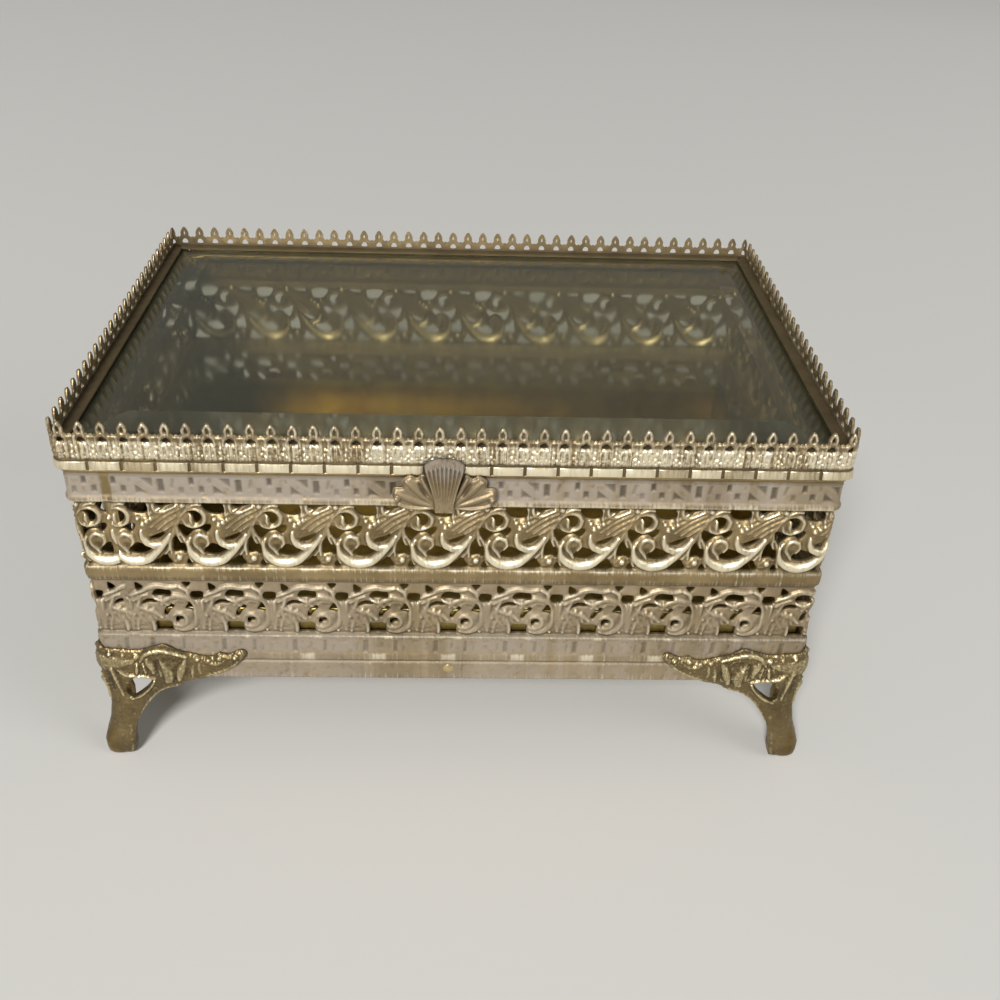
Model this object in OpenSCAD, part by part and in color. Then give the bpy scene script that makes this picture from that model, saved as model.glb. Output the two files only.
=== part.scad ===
// Jewel casket of pierced gilt brass: a filigree box on four cast corner legs,
// with a bevelled glass lid that hinges at the back.
// Millimetres, +Z up, origin on the floor under the centre of the box.

/* [Lid] */
// Lid width, left to right
lid_w = 178; // [174:0.5:184]
// Lid depth, front to back
lid_d = 122; // [118:0.5:128]
// Thickness of the glass in the middle
glass_t = 5; // [4:0.5:6]
// Width of the bevel round the glass
bevel_w = 12; // [8:1:16]
// Pitch of the crowns along the lid's edge
crown_pitch = 4.55; // [4.2:0.05:5]
// Height of the crowns above the lace band
crown_h = 5; // [4:0.5:6]

/* [Body] */
// Height from the floor to the bottom edge of the box
leg_h = 25; // [20:1:32]
// Height of the box without its legs and lid
body_h = 61; // [61:1:68]
// How far the lid stands out past the box on every side
lid_over = 1; // [0.8:0.1:1.4]
// Repeat of the scroll pattern
motif = 17.2; // [16.8:0.1:17.6]
// Radius of the box's corners
corner_r = 2.5; // [2:0.25:3]

/* [Fittings] */
// Sideways place of the shell tab
tab_x = -3; // [-6:0.5:6]
// Distance of each hinge from the middle
hinge_x = 52; // [40:1:60]
// Length of each hinge
hinge_len = 18; // [14:1:24]
// Radius of the hinge pins
pin_r = 0.6; // [0.5:0.05:0.7]

/* [Hidden] */
$fn = 48;
eps = 0.01;

// plan sizes: box at its mouldings, and at its scroll bands
body_w = lid_w - 2 * lid_over;
body_d = lid_d - 2 * lid_over;

// depths below the moulding face, from the outside in
scroll_in = 0.7;     // tops of the scrolls
sheet_in = 1.5;      // outer face of the sheet
sheet_t = 0.9;       // thickness of the sheet
wall_t = sheet_in + sheet_t;
band_in = 0.5;       // plain rib, and ground of the embossed bands

// heights of the bands, counted from the box's bottom edge
z_box = leg_h;
border_h = 6;
emboss_h = 8.4;
low_h = 15.6;
rib_h = 4;
main_h = 17.6;
rim_h = 1.2;
z_emb_lo = z_box + border_h;
z_low = z_emb_lo + emboss_h;
z_rib = z_low + low_h;
z_main = z_rib + rib_h;
z_emb_hi = z_main + main_h;
z_top = z_box + body_h;
z_rim = z_top - rim_h;

// lid heights
lid_gap = 0.2;
z_lid = z_top + lid_gap;
skirt_h = 2.5;
z_band = z_lid + skirt_h;
band_h = 4.3;
z_crown = z_band + band_h;
z_tip = z_crown + crown_h;
lace_t = 1.1;
skirt_t = 2;
frame_t = 0.9;
glass_gap = 0.3;
glass_z = z_lid + 2.2;
glass_edge_t = 3;
lip_t = 0.8;
lip_w = 2.8;
// the lip clears the bevel, which has risen a little where the lip ends
lip_z = glass_z + glass_edge_t + 0.15 + (lip_w - frame_t - glass_gap) * (glass_t - glass_edge_t) / bevel_w;
retainer_t = 1;
retainer_w = 6;

// groove spacing of the lid's skirt
groove_pitch = 7.35;
groove_w = 0.5;

// base pan, a tray whose turned-up edge stands behind the lower scrolls
pan_t = 0.8;
pan_z = z_box + 1;
pan_h = 19.3;
pan_gap = 0.2;

// rivets and leg screws
rivet_z = z_box + 3.4;
rivet_r = 0.7;
rivet_head_r = 1.3;
rivet_x = -2;
screw_r = 0.8;
screw_head_r = 1.7;
screw_head_t = 0.8;
screw_off = 15;
screw_z = z_box + 4.4;
hole_play = 0.05;

// legs
wing_t = 1;
leg_t = 4.6;
foot_r = 3.8;
foot_in = 1;
foot_h = 7.4;

// shell tab
tab_gap = 0.05;
tab_base_t = 1.5;
tab_t = 2.9;

// hinges: barrel clear of the lid by 0.3 mm
knuckle_r = 1.3;
leaf_t = 0.8;
hinge_y = lid_d / 2 + knuckle_r + 0.3;
hinge_z = z_top + lid_gap / 2;
bore_r = pin_r + 0.05;
knuckle_gap = 0.2;
leaf_drop = 9;

gilt = [0.72, 0.58, 0.33];
pale = [0.78, 0.68, 0.48];
cast = [0.62, 0.50, 0.27];
clear = [0.75, 0.82, 0.8, 0.35];

// ---------------------------------------------------------------- curves
// point at t between b and c of a smooth curve through a, b, c, d
function blend(a, b, c, d, t) =
  0.5 * (2 * b + (c - a) * t + (2 * a - 5 * b + 4 * c - d) * t * t
  + (3 * b - a - 3 * c + d) * t * t * t);

// a closed smooth outline through the points
function loop(p, sub = 2) = [
  for (i = [0:len(p) - 1], k = [0:sub - 1])
    blend(p[(i + len(p) - 1) % len(p)], p[i], p[(i + 1) % len(p)], p[(i + 2) % len(p)], k / sub)];

// an open smooth path through the points, which may carry a half width each
function path(p, sub = 2) = concat([
  for (i = [0:len(p) - 2], k = [0:sub - 1])
    blend(p[max(i - 1, 0)], p[i], p[i + 1], p[min(i + 2, len(p) - 1)], k / sub)],
  [p[len(p) - 1]]);

function unit(v) = v / max(norm(v), 0.0001);
function side_of(p, i) =
  let (d = unit([p[min(i + 1, len(p) - 1)][0] - p[max(i - 1, 0)][0],
                 p[min(i + 1, len(p) - 1)][1] - p[max(i - 1, 0)][1]]))
  [-d[1], d[0]];

// a brush stroke: each point is [x, z, half width]
module stroke(q) {
  n = len(q);
  polygon(concat(
    [for (i = [0:n - 1]) [q[i][0], q[i][1]] + side_of(q, i) * q[i][2]],
    [for (i = [n - 1:-1:0]) [q[i][0], q[i][1]] - side_of(q, i) * q[i][2]]));
}

// ---------------------------------------------------------------- main scroll band
// piercings of one repeat, in mm from the repeat's left end and the band's foot
main_holes = [
  [[-1.1, 12], [1.5, 10.7], [4.5, 11.2], [6.3, 12.8], [6.5, 11], [4.8, 9.3], [2.7, 10.1], [1, 8.6], [-0.6, 9]],
  [[1.7, 15.4], [3, 15.3], [3.9, 14.5], [3.5, 13.2], [2.7, 12.9], [2.5, 14]],
  [[4.2, 4.7], [5.2, 6.3], [6.8, 6.2], [8.8, 5.2], [7.4, 3.9], [5.4, 3.6]],
  [[8.4, 8.8], [10, 7.9], [11.3, 8], [12.5, 9.2], [10.6, 9.4]]];
main_corners = [
  [[4.9, 17.2], [9.2, 17.2], [9.1, 15], [6.2, 15]],
  [[11.6, 17.2], [14.4, 17.2], [13.5, 16.6], [11.9, 16.7]],
  [[8.8, 0.6], [13.7, 0.6], [12.9, 2.3], [12.2, 3.6], [10.6, 2]],
  [[14.9, 3.9], [15, 7.5], [15.9, 7.7], [16.9, 6.6], [17.1, 4]]];

// scrolls of one repeat: the C scroll, its outer leaf, the hooked leaf, ridges and stems
main_strokes = [
  [[5.5, 7, 0.3], [5, 8.4, 0.5], [3.7, 8.9, 0.55], [2.5, 7.8, 0.55], [2.3, 5.8, 0.6], [3.4, 3.4, 0.8],
   [6.3, 2.2, 1.2], [9.4, 3.5, 1.15], [11.5, 5.9, 1], [13, 8.6, 0.6], [14.2, 11, 0.3]],
  [[0.9, 8.6, 0.3], [0.6, 6.2, 0.4], [1, 3.8, 0.45], [2.4, 1.6, 0.5], [5, 0.6, 0.3]],
  [[-4, 12, 0.5], [-2.8, 14.6, 0.7], [-0.8, 16.2, 0.8], [1.8, 16.6, 0.7], [4, 16, 0.65], [4.9, 14.4, 0.65],
   [4.4, 12.6, 0.65], [3, 11.9, 0.6], [1.4, 12.2, 0.6], [0.8, 13.4, 0.5], [1.3, 14.4, 0.3]],
  [[7.1, 9.7, 0.3], [7.6, 8, 0.5], [9.1, 6.9, 0.55], [11, 6.6, 0.35]],
  [[7.4, 10.4, 0.4], [9.5, 12.5, 0.6], [12.3, 15, 0.6], [14.8, 16.4, 0.4]],
  [[10, 10.4, 0.4], [12, 12.2, 0.5], [14.3, 14.2, 0.5]],
  [[13.7, 0.8, 0.35], [12.9, 3.2, 0.35], [13.4, 5.8, 0.35], [14.4, 8.6, 0.35], [15.4, 11.4, 0.3]],
  [[10.1, 14.3, 0.4], [10, 15.8, 0.45], [10.2, 17.4, 0.45]]];
main_bead = [15.6, 2.5, 0.8];

// ---------------------------------------------------------------- lower scroll band
low_holes = [
  [[7.2, 5.3], [8.8, 7], [10, 7.9], [9.2, 8.6], [7.9, 7.6]],
  [[5.8, 12.4], [7.5, 12.9], [9.5, 12.7], [8.9, 11.5], [7.2, 11]],
  [[2.3, 8.4], [2.9, 9.4], [4.4, 9.9], [5.9, 9.7], [4.3, 9.1]]];
low_corners = [
  [[12.4, 8.1], [13.8, 9.1], [14, 6.9]],
  [[14.3, 12.3], [16.9, 12.3], [16.8, 10.8], [15.6, 10.4], [14.3, 11]],
  [[12.2, 14.8], [14.6, 14.8], [13.3, 13.9]],
  [[5, 0.4], [9, 0.4], [8.2, 2.5], [5.1, 2.8]]];
low_ring = [10.9, 4.3, 2.6, 1.2];
low_shift = 15.3;
low_eye = [2.1, 13.3, 0.65];
low_strokes = [
  [[7.6, 8.4, 0.3], [8.3, 9.9, 0.45], [10.4, 10.8, 0.55], [12.6, 10.4, 0.45], [13.4, 9.8, 0.25]],
  [[12.2, 13.6, 0.3], [13.5, 12.6, 0.35], [14, 10, 0.25], [14.7, 7, 0.4], [14.6, 4.2, 0.45], [13.6, 2, 0.5]],
  [[16.6, 9.6, 0.35], [16.4, 6.5, 0.4], [15.7, 3.6, 0.3]],
  [[0.2, 11.3, 0.3], [2.6, 12.4, 0.3], [4.6, 13.5, 0.45], [6.8, 13.9, 0.45], [9.5, 13.6, 0.35]],
  [[1.2, 7.6, 0.3], [2.6, 6.2, 0.45], [4.6, 5.6, 0.45], [6.2, 4, 0.3]]];

// ---------------------------------------------------------------- embossed bands
key_curve = [[7.5, 2.8, 0.45], [7.6, 5, 0.55], [8.7, 5.8, 0.5], [10, 4.6, 0.5], [11.2, 3, 0.5],
  [12.1, 3.6, 0.5], [12.2, 6.8, 0.45]];
key_bars = [[0.1, 3.6, 2.1, 3.6], [2.8, 3, 3.8, 1.2], [2.8, 5.4, 1, 1.8], [5.2, 4.8, 0.7, 2.4], [15, 3.6, 2.1, 3.6]];

// the repeats that a wall shows, counted from `first`, the left end of one of them
function starts(len, first) = [
  for (x = [first - motif * ceil((first + len / 2) / motif):motif:len / 2 - 0.01]) x];

// keeps a pattern inside a window
module within(x0, x1, z0, h) {
  intersection() {
    translate([x0, z0])
      square([x1 - x0, h]);
    children();
  }
}

// the two piercing patterns of the repeat that starts at x
module holes_2d(x) {
  translate([x, z_main])
    for (h = concat(main_holes, main_corners))
      polygon(h);
  translate([x - low_shift, z_low]) {
    for (h = concat(low_holes, low_corners))
      polygon(h);
    translate([low_ring[0], low_ring[1]])
      circle(low_ring[3], $fn = 12);
    translate([low_eye[0], low_eye[1]])
      circle(low_eye[2], $fn = 8);
  }
}

module scrolls_2d(x) {
  translate([x, z_main]) {
    for (s = main_strokes)
      stroke(s);
    translate([main_bead[0], main_bead[1]])
      circle(main_bead[2], $fn = 10);
  }
  translate([x - low_shift, z_low]) {
    for (s = low_strokes)
      stroke(s);
    translate([low_ring[0], low_ring[1]])
      circle(low_ring[2], $fn = 16);
  }
}

module keys_2d(x) {
  for (z = [z_emb_hi, z_emb_lo])
    translate([x, z]) {
      stroke(key_curve);
      for (b = key_bars)
        translate([b[0], b[1]])
          square([b[2], b[3]]);
    }
}

// a flat layer of the wall, from one depth to another below the moulding face
module layer(from, to) {
  translate([0, from, 0])
    rotate([90, 0, 0])
      mirror([0, 0, 1])
        linear_extrude(to - from)
          children();
}

module band(x0, x1, z0, h) {
  translate([x0, z0])
    square([x1 - x0, h]);
}

// flat bands across the wall: the plain rib and the grounds of the embossed bands
module grounds_2d(x0, x1) {
  band(x0, x1, z_rib, rib_h);
  band(x0, x1, z_emb_hi, z_rim - z_emb_hi);
  band(x0, x1, z_box, z_low - z_box);
}

// drops slivers finer than the stamping could show
module no_slivers() {
  offset(delta = 0.01)
    offset(delta = -0.01)
      children();
}

// one repeat of a wall between x0 and x1; each layer stands on the one behind it
module tile(x, x0, x1, clear0, clear1) {
  layer(sheet_in, wall_t)
    no_slivers()
      difference() {
        band(x0, x1, z_box, z_rim - z_box);
        within(clear0, clear1, z_box, body_h)
          for (k = [-1, 0, 1])
            holes_2d(x + k * motif);
      }
  layer(scroll_in, sheet_in)
    no_slivers()
      difference() {
        union() {
          grounds_2d(x0, x1);
          within(max(x0, clear0), min(x1, clear1), z_low, z_emb_hi - z_low)
            for (k = [-1, 0, 1])
              scrolls_2d(x + k * motif);
        }
        within(clear0, clear1, z_box, body_h)
          offset(delta = 0.05)
            for (k = [-1, 0, 1])
              holes_2d(x + k * motif);
      }
  layer(band_in, scroll_in)
    grounds_2d(x0, x1);
  layer(0, band_in)
    no_slivers() {
      within(max(x0, clear0), min(x1, clear1), z_box, body_h)
        keys_2d(x);
      for (z = [z_box, z_emb_lo, z_low - 1, z_emb_hi])
        band(x0, x1, z, 0.9);
    }
}

// one wall, its moulding face on the XZ plane and its back towards +Y;
// the pattern keeps off the wall's ends
module panel(len, first) {
  margin = 1.5;
  for (x = starts(len, first))
    tile(x, max(x, -len / 2), min(x + motif, len / 2), margin - len / 2, len / 2 - margin);
}

// the bent corner of the strip, from the front wall's end round to the side wall
module corner_bend() {
  rotate_extrude(angle = 90)
    difference() {
      translate([corner_r - wall_t, z_box])
        square([wall_t, z_rim - z_box]);
      for (b = [[z_low, low_h, scroll_in], [z_main, main_h, scroll_in], [z_rib, rib_h, band_in]])
        translate([corner_r - b[2], b[0]])
          square([b[2] + eps, b[1]]);
    }
}

// a front or back wall with the strip's bends at both ends
module long_wall(first) {
  flat = body_w - 2 * corner_r;
  translate([0, -body_d / 2, 0])
    panel(flat, first);
  for (s = [-1, 1])
    translate([s * flat / 2, -body_d / 2 + corner_r, 0])
      rotate([0, 0, s > 0 ? -90 : 180])
        corner_bend();
}

module short_wall(first) {
  rotate([0, 0, -90])
    translate([0, -body_w / 2, 0])
      panel(body_d - 2 * corner_r, first);
}

// where a repeat starts on the long walls and on the short ones
front_first = 40.3;
side_first = 4;

// holes for the pan's rivets and the legs' screws, through whatever they cross
module rivet_axes() {
  translate([rivet_x, 0, rivet_z])
    for (a = [0, 180])
      rotate([0, 0, a])
        translate([0, -body_d / 2, 0])
          children();
  translate([0, 0, rivet_z])
    for (a = [90, 270])
      rotate([0, 0, a])
        translate([0, -body_w / 2, 0])
          children();
}

module screw_axes() {
  for (sx = [-1, 1], sy = [-1, 1]) {
    translate([sx * (body_w / 2 - screw_off), sy * body_d / 2, screw_z])
      rotate([0, 0, sy < 0 ? 0 : 180])
        children();
    translate([sx * body_w / 2, sy * (body_d / 2 - screw_off), screw_z])
      rotate([0, 0, sx < 0 ? -90 : 90])
        children();
  }
}

// a round bar along +Y
module bar(r, y0, y1) {
  translate([0, y0, 0])
    rotate([-90, 0, 0])
      cylinder(r = r, h = y1 - y0);
}

module fixing_holes() {
  rivet_axes()
    bar(rivet_r + hole_play, -1, 5);
  screw_axes()
    bar(screw_r + hole_play, -1, 5);
}

module wall_front() {
  color(gilt)
    difference() {
      long_wall(front_first);
      fixing_holes();
    }
}

module wall_back() {
  color(gilt)
    difference() {
      rotate([0, 0, 180])
        long_wall(front_first);
      fixing_holes();
    }
}

module wall_left() {
  color(gilt)
    difference() {
      short_wall(side_first);
      fixing_holes();
    }
}

module wall_right() {
  color(gilt)
    difference() {
      rotate([0, 0, 180])
        short_wall(side_first);
      fixing_holes();
    }
}

// ---------------------------------------------------------------- rim and pan
// a rectangle with rounded corners, centred
module plan(w, d, r) {
  union() {
    square([w - 2 * r, d], center = true);
    square([w, d - 2 * r], center = true);
    for (x = [-1, 1], y = [-1, 1])
      translate([x * (w / 2 - r), y * (d / 2 - r)])
        circle(r);
  }
}

// a ring of constant width between two heights
module ring(w, d, r, width, z0, z1) {
  translate([0, 0, z0])
    linear_extrude(z1 - z0)
      difference() {
        plan(w, d, r);
        plan(w - 2 * width, d - 2 * width, max(r - width, 0.3));
      }
}

module top_rim() {
  color(gilt)
    ring(body_w, body_d, corner_r, wall_t + 0.4, z_rim, z_top);
}

pan_w = body_w - 2 * (wall_t + pan_gap);
pan_d = body_d - 2 * (wall_t + pan_gap);

module base_pan() {
  color(pale)
    difference() {
      union() {
        translate([0, 0, pan_z])
          linear_extrude(pan_t)
            plan(pan_w, pan_d, 0.6);
        ring(pan_w, pan_d, 0.6, pan_t, pan_z, pan_z + pan_h);
      }
      fixing_holes();
    }
}

// a rivet: domed head outside, flat clinched tail inside the pan
module pan_rivets() {
  tail = wall_t + pan_gap + pan_t;
  color(gilt)
    rivet_axes() {
      bar(rivet_r, 0, tail);
      bar(rivet_head_r, tail, tail + 0.4);
      rotate([-90, 0, 0])
        translate([0, 0, band_in])
          mirror([0, 0, 1])
            rotate_extrude()
              intersection() {
                translate([0, -1.6])
                  circle(2.2);
                square([rivet_head_r, 1]);
              }
    }
}

// pan-headed screws from inside the pan into the legs' wings
module leg_screws() {
  head = wall_t + pan_gap + pan_t;
  color(pale)
    screw_axes() {
      bar(screw_r, -wing_t + 0.5, head);
      difference() {
        bar(screw_head_r, head, head + screw_head_t);
        translate([-0.2, head + 0.4, -screw_head_r])
          cube([0.4, 1, 2 * screw_head_r]);
      }
    }
}

// ---------------------------------------------------------------- legs
// outline of a leg seen square on, x inwards from the box's corner, z up;
// the wing lies on the box's face and stands out from it by wing_t
leg_outer = [[-wing_t, 36.5], [-wing_t, 29], [-0.6, 25], [0.3, 20.5], [0.1, 15], [-1, 10], [-2.2, 6.5]];
leg_inner = [[3.6, 6.5], [4.8, 9], [7.2, 12.8], [9.6, 16], [12.6, 19.4], [16, 21.6], [20, 22.4], [22.4, 23.8]];
leg_wing = [[25.5, 24.9], [28.6, 26.2], [32, 28], [35.6, 31], [36.8, 34], [34.5, 34.8], [31, 34.2], [27, 32.8],
  [23.5, 33.2], [19.5, 34.8], [16, 36], [12.5, 35.4], [8.5, 34], [4, 34.8]];
leg_eye = [[5.7, 20.2], [7.2, 23.4], [9.4, 24.6], [12.6, 23.9], [10.6, 20.9], [7.6, 18.2], [6, 17.4]];
leg_reach = 42;

module leg_side_2d() {
  translate([0, leg_h - 25])
    difference() {
      polygon(concat(path(leg_outer), path(leg_inner), path(leg_wing)));
      polygon(loop(leg_eye, 3));
    }
}

// round foot under the column, flat where it stands
module foot() {
  translate([foot_in, foot_in, 0])
    rotate_extrude()
      intersection() {
        translate([0, foot_h - foot_r - 0.3])
          circle(foot_r + 0.3);
        square([foot_r, foot_h]);
      }
}

// a leg with the box's corner at its origin and the box towards +X +Y
module leg_casting() {
  difference() {
    union() {
      intersection() {
        layer(-5, leg_reach)
          leg_side_2d();
        mirror([1, -1, 0])
          layer(-5, leg_reach)
            leg_side_2d();
      }
      foot();
      translate([foot_in - 2.6, foot_in - 2.6, foot_h / 2])
        cube([5, 5, leg_h / 2 - 4]);
    }
    // the box with its rounded corner stands in the leg
    translate([body_w / 2, body_d / 2, leg_h])
      linear_extrude(body_h)
        plan(body_w, body_d, corner_r);
    // the casting is hollow behind
    translate([leg_t, leg_t, foot_h + 1])
      cube([leg_reach, leg_reach, leg_h]);
  }
}

module leg(sx, sy) {
  color(cast)
    difference() {
      scale([-sx, -sy, 1])
        translate([-body_w / 2, -body_d / 2, 0])
          leg_casting();
      screw_axes()
        bar(screw_r + hole_play, -wing_t + 0.3, 2);
    }
}

// ---------------------------------------------------------------- lid
frame_w = lid_w - 2 * lace_t;
frame_d = lid_d - 2 * lace_t;
lid_r = corner_r + 0.5;
glass_w = frame_w - 2 * (frame_t + glass_gap);
glass_d = frame_d - 2 * (frame_t + glass_gap);

// upright grooves round the skirt, kept off the corners
module skirt_grooves() {
  for (a = [0, 90, 180, 270]) {
    long = a % 180 == 0;
    half = (long ? lid_w : lid_d) / 2 - lid_r - 2;
    for (x = [-floor(half / groove_pitch):floor(half / groove_pitch)])
      rotate([0, 0, a])
        translate([x * groove_pitch - groove_w / 2, -(long ? lid_d : lid_w) / 2 - 1, z_lid - 1])
          cube([groove_w, 1.35, skirt_h + 2]);
  }
}

module lid_frame() {
  color(gilt)
    difference() {
      union() {
        ring(lid_w, lid_d, lid_r, skirt_t, z_lid, z_band - 0.4);
        ring(lid_w - 0.8, lid_d - 0.8, lid_r - 0.4, skirt_t - 0.4, z_lid, z_band);
        ring(frame_w, frame_d, lid_r - lace_t, frame_t, z_lid, lip_z + lip_t);
        ring(frame_w, frame_d, lid_r - lace_t, lip_w, lip_z, lip_z + lip_t);
      }
      skirt_grooves();
    }
}

// one crown: an arch over a small hole with a pointed loop on top, and a bead beside it
module crown_2d() {
  difference() {
    union() {
      polygon([[-1.6, -eps], [1.6, -eps], [1.4, 1.2], [1, 2.4], [-1, 2.4], [-1.4, 1.2]]);
      translate([0, crown_h - 1.9])
        circle(1.15);
      polygon([[-0.85, crown_h - 1.1], [0.85, crown_h - 1.1], [0, crown_h]]);
      for (s = [-1, 1])
        translate([s * crown_pitch / 2, 1.2])
          circle(0.75);
      translate([-crown_pitch / 2, -eps])
        square([crown_pitch, 0.6]);
    }
    translate([0, crown_h - 2])
      circle(0.5);
    translate([0, 0.9])
      circle(0.7);
  }
}

// lace strip: a band with a rail at its foot, and the crowns along its top edge
module lace(len) {
  count = floor((len - 1) / crown_pitch);
  layer(0, lace_t)
    band(-len / 2, len / 2, z_band + 0.7, band_h - 1);
  layer(0.3, lace_t) {
    band(-len / 2, len / 2, z_band, band_h);
    within(-len / 2, len / 2, z_crown - eps, crown_h + 1)
      for (i = [0:count - 1])
        translate([(i - (count - 1) / 2) * crown_pitch, z_crown])
          crown_2d();
  }
}

// the lace bent round a corner, with a crown on the bend
module lace_bend() {
  rotate_extrude(angle = 90) {
    translate([lid_r - lace_t, z_band + 0.7])
      square([lace_t, band_h - 1]);
    translate([lid_r - lace_t, z_band])
      square([lace_t - 0.3, band_h]);
  }
  rotate([0, 0, 135])
    translate([0, -lid_r + 0.1, z_crown])
      layer(0, lace_t - 0.5)
        crown_2d();
}

module long_lace() {
  flat = lid_w - 2 * lid_r;
  translate([0, -lid_d / 2, 0])
    lace(flat);
  for (s = [-1, 1])
    translate([s * flat / 2, -lid_d / 2 + lid_r, 0])
      rotate([0, 0, s > 0 ? -90 : 180])
        lace_bend();
}

module short_lace() {
  rotate([0, 0, -90])
    translate([0, -lid_w / 2, 0])
      lace(lid_d - 2 * lid_r);
}

module lace_front() {
  color(gilt)
    long_lace();
}

module lace_back() {
  color(gilt)
    rotate([0, 0, 180])
      long_lace();
}

module lace_left() {
  color(gilt)
    short_lace();
}

module lace_right() {
  color(gilt)
    rotate([0, 0, 180])
      short_lace();
}

// outline of the glass across one direction
module glass_profile(w) {
  polygon([[-w / 2, glass_z], [w / 2, glass_z], [w / 2, glass_z + glass_edge_t],
    [w / 2 - bevel_w, glass_z + glass_t], [-w / 2 + bevel_w, glass_z + glass_t],
    [-w / 2, glass_z + glass_edge_t]]);
}

module glass() {
  color(clear)
    intersection() {
      layer(-glass_d / 2, glass_d / 2)
        glass_profile(glass_w);
      rotate([0, 0, 90])
        layer(-glass_w / 2, glass_w / 2)
          glass_profile(glass_d);
    }
}

module glass_retainer() {
  color(pale)
    ring(glass_w, glass_d, 0.6, retainer_w, glass_z - retainer_t, glass_z);
}

// ---------------------------------------------------------------- shell tab
// outlines in mm from the tab's middle and from the lid's lower edge
fan_2d = [[-2.4, -9.6], [-0.8, -10], [0.8, -10], [2.4, -9.6], [1.8, -7.4], [1.7, -5.8], [3.2, -2.4], [4.8, 0.6],
  [4.6, 2.8], [2.6, 4.2], [0, 4.6], [-2.6, 4.2], [-4.6, 2.8], [-4.8, 0.6], [-3.2, -2.4], [-1.7, -5.8], [-1.8, -7.4]];
leaf_2d = [[1.2, -8.6], [4.4, -9.4], [8.6, -8.8], [11.2, -7.2], [11.4, -4.6], [9.6, -2.4], [7.2, -1.2], [5, 0.2],
  [3.4, -1.4], [2.4, -4.2]];
leaf_eye = [[4.6, -6.6], [6.6, -7], [7.6, -5.4], [6.4, -3.8], [4.8, -4.4]];
fan_ribs = 7;

module shell_tab() {
  color(cast)
    translate([tab_x, -lid_d / 2 - tab_gap, z_lid]) {
      layer(-tab_base_t, 0) {
        polygon(loop(fan_2d));
        for (m = [0, 1])
          mirror([m, 0])
            difference() {
              polygon(loop(leaf_2d));
              polygon(loop(leaf_eye));
            }
      }
      layer(-tab_t, -tab_base_t)
        for (i = [0:fan_ribs - 1]) {
          lean = (i - (fan_ribs - 1) / 2) / (fan_ribs - 1);
          stroke([[lean * 2, -6, 0.12], [lean * 5.4, -2, 0.3], [lean * 8, 1.2, 0.42],
            [lean * 7, 3.4 - abs(lean) * 2.4, 0.3]]);
          stroke([[lean * 2, -6.4, 0.12], [lean * 3.6, -9.2, 0.2]]);
        }
      layer(-tab_t + 0.5, -tab_base_t)
        for (m = [0, 1])
          mirror([m, 0])
            stroke([[3, -8.4, 0.3], [7, -8.2, 0.6], [10, -6.6, 0.7], [10, -4.4, 0.6], [8, -3, 0.4], [5.6, -1.6, 0.3]]);
    }
}

// ---------------------------------------------------------------- hinges
// knuckles are counted from the hinge's left end; the middle one belongs to the lid
knuckle_len = hinge_len / 3;

module knuckle(x0, x1) {
  translate([x0, hinge_y, hinge_z])
    rotate([0, 90, 0])
      difference() {
        cylinder(r = knuckle_r, h = x1 - x0);
        translate([0, 0, -1])
          cylinder(r = bore_r, h = x1 - x0 + 2);
      }
}

// web between a plate on the back of the box or lid and a knuckle
module web(x0, x1, y0, z0, z1) {
  difference() {
    translate([x0, y0, z0])
      cube([x1 - x0, hinge_y - y0, z1 - z0]);
    translate([x0 - 1, hinge_y, hinge_z])
      rotate([0, 90, 0])
        cylinder(r = bore_r, h = x1 - x0 + 2);
  }
}

module hinge_body(side) {
  x0 = side * hinge_x - hinge_len / 2;
  color(cast) {
    translate([x0, body_d / 2, hinge_z - leaf_drop])
      cube([hinge_len, leaf_t, leaf_drop - knuckle_r]);
    for (k = [0, 2]) {
      a = x0 + k * knuckle_len + (k == 2 ? knuckle_gap / 2 : 0);
      b = x0 + (k + 1) * knuckle_len - (k == 0 ? knuckle_gap / 2 : 0);
      knuckle(a, b);
      web(a, b, body_d / 2, hinge_z - knuckle_r - 1, hinge_z - knuckle_r + 0.5);
    }
  }
}

module hinge_lid(side) {
  x0 = side * hinge_x - hinge_len / 2;
  a = x0 + knuckle_len + knuckle_gap / 2;
  b = x0 + 2 * knuckle_len - knuckle_gap / 2;
  color(cast) {
    translate([x0, lid_d / 2 + tab_gap, hinge_z + knuckle_r + 0.4])
      cube([hinge_len, leaf_t - tab_gap, leaf_drop - knuckle_r - 3]);
    knuckle(a, b);
    web(a, b, lid_d / 2 + tab_gap, hinge_z + 0.1, hinge_z + knuckle_r + 0.5);
  }
}

module hinge_pin(side) {
  color(pale)
    translate([side * hinge_x - hinge_len / 2 - 0.4, hinge_y, hinge_z])
      rotate([0, 90, 0])
        cylinder(r = pin_r, h = hinge_len + 0.8);
}

wall_front();
wall_back();
wall_left();
wall_right();
top_rim();
base_pan();
pan_rivets();
leg(-1, -1);  // leg_front_left
leg(1, -1);  // leg_front_right
leg(-1, 1);  // leg_back_left
leg(1, 1);  // leg_back_right
leg_screws();
lid_frame();
lace_front();
lace_back();
lace_left();
lace_right();
glass();
glass_retainer();
shell_tab();
hinge_body(-1);  // hinge_body_left
hinge_body(1);  // hinge_body_right
hinge_lid(-1);  // hinge_lid_left
hinge_lid(1);  // hinge_lid_right
hinge_pin(-1);  // hinge_pin_left
hinge_pin(1);  // hinge_pin_right
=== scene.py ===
"""Looks of a jewel casket of pierced gilt brass with a bevelled glass lid.

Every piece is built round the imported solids, in metres, with the floor at z = 0 and the
front facing -y. Sizes inside the shape functions are millimetres, turned to metres by MM
when a mesh is made.
"""
import math

import bpy
import bmesh
import numpy as np
from mathutils import Matrix, Vector


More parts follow.
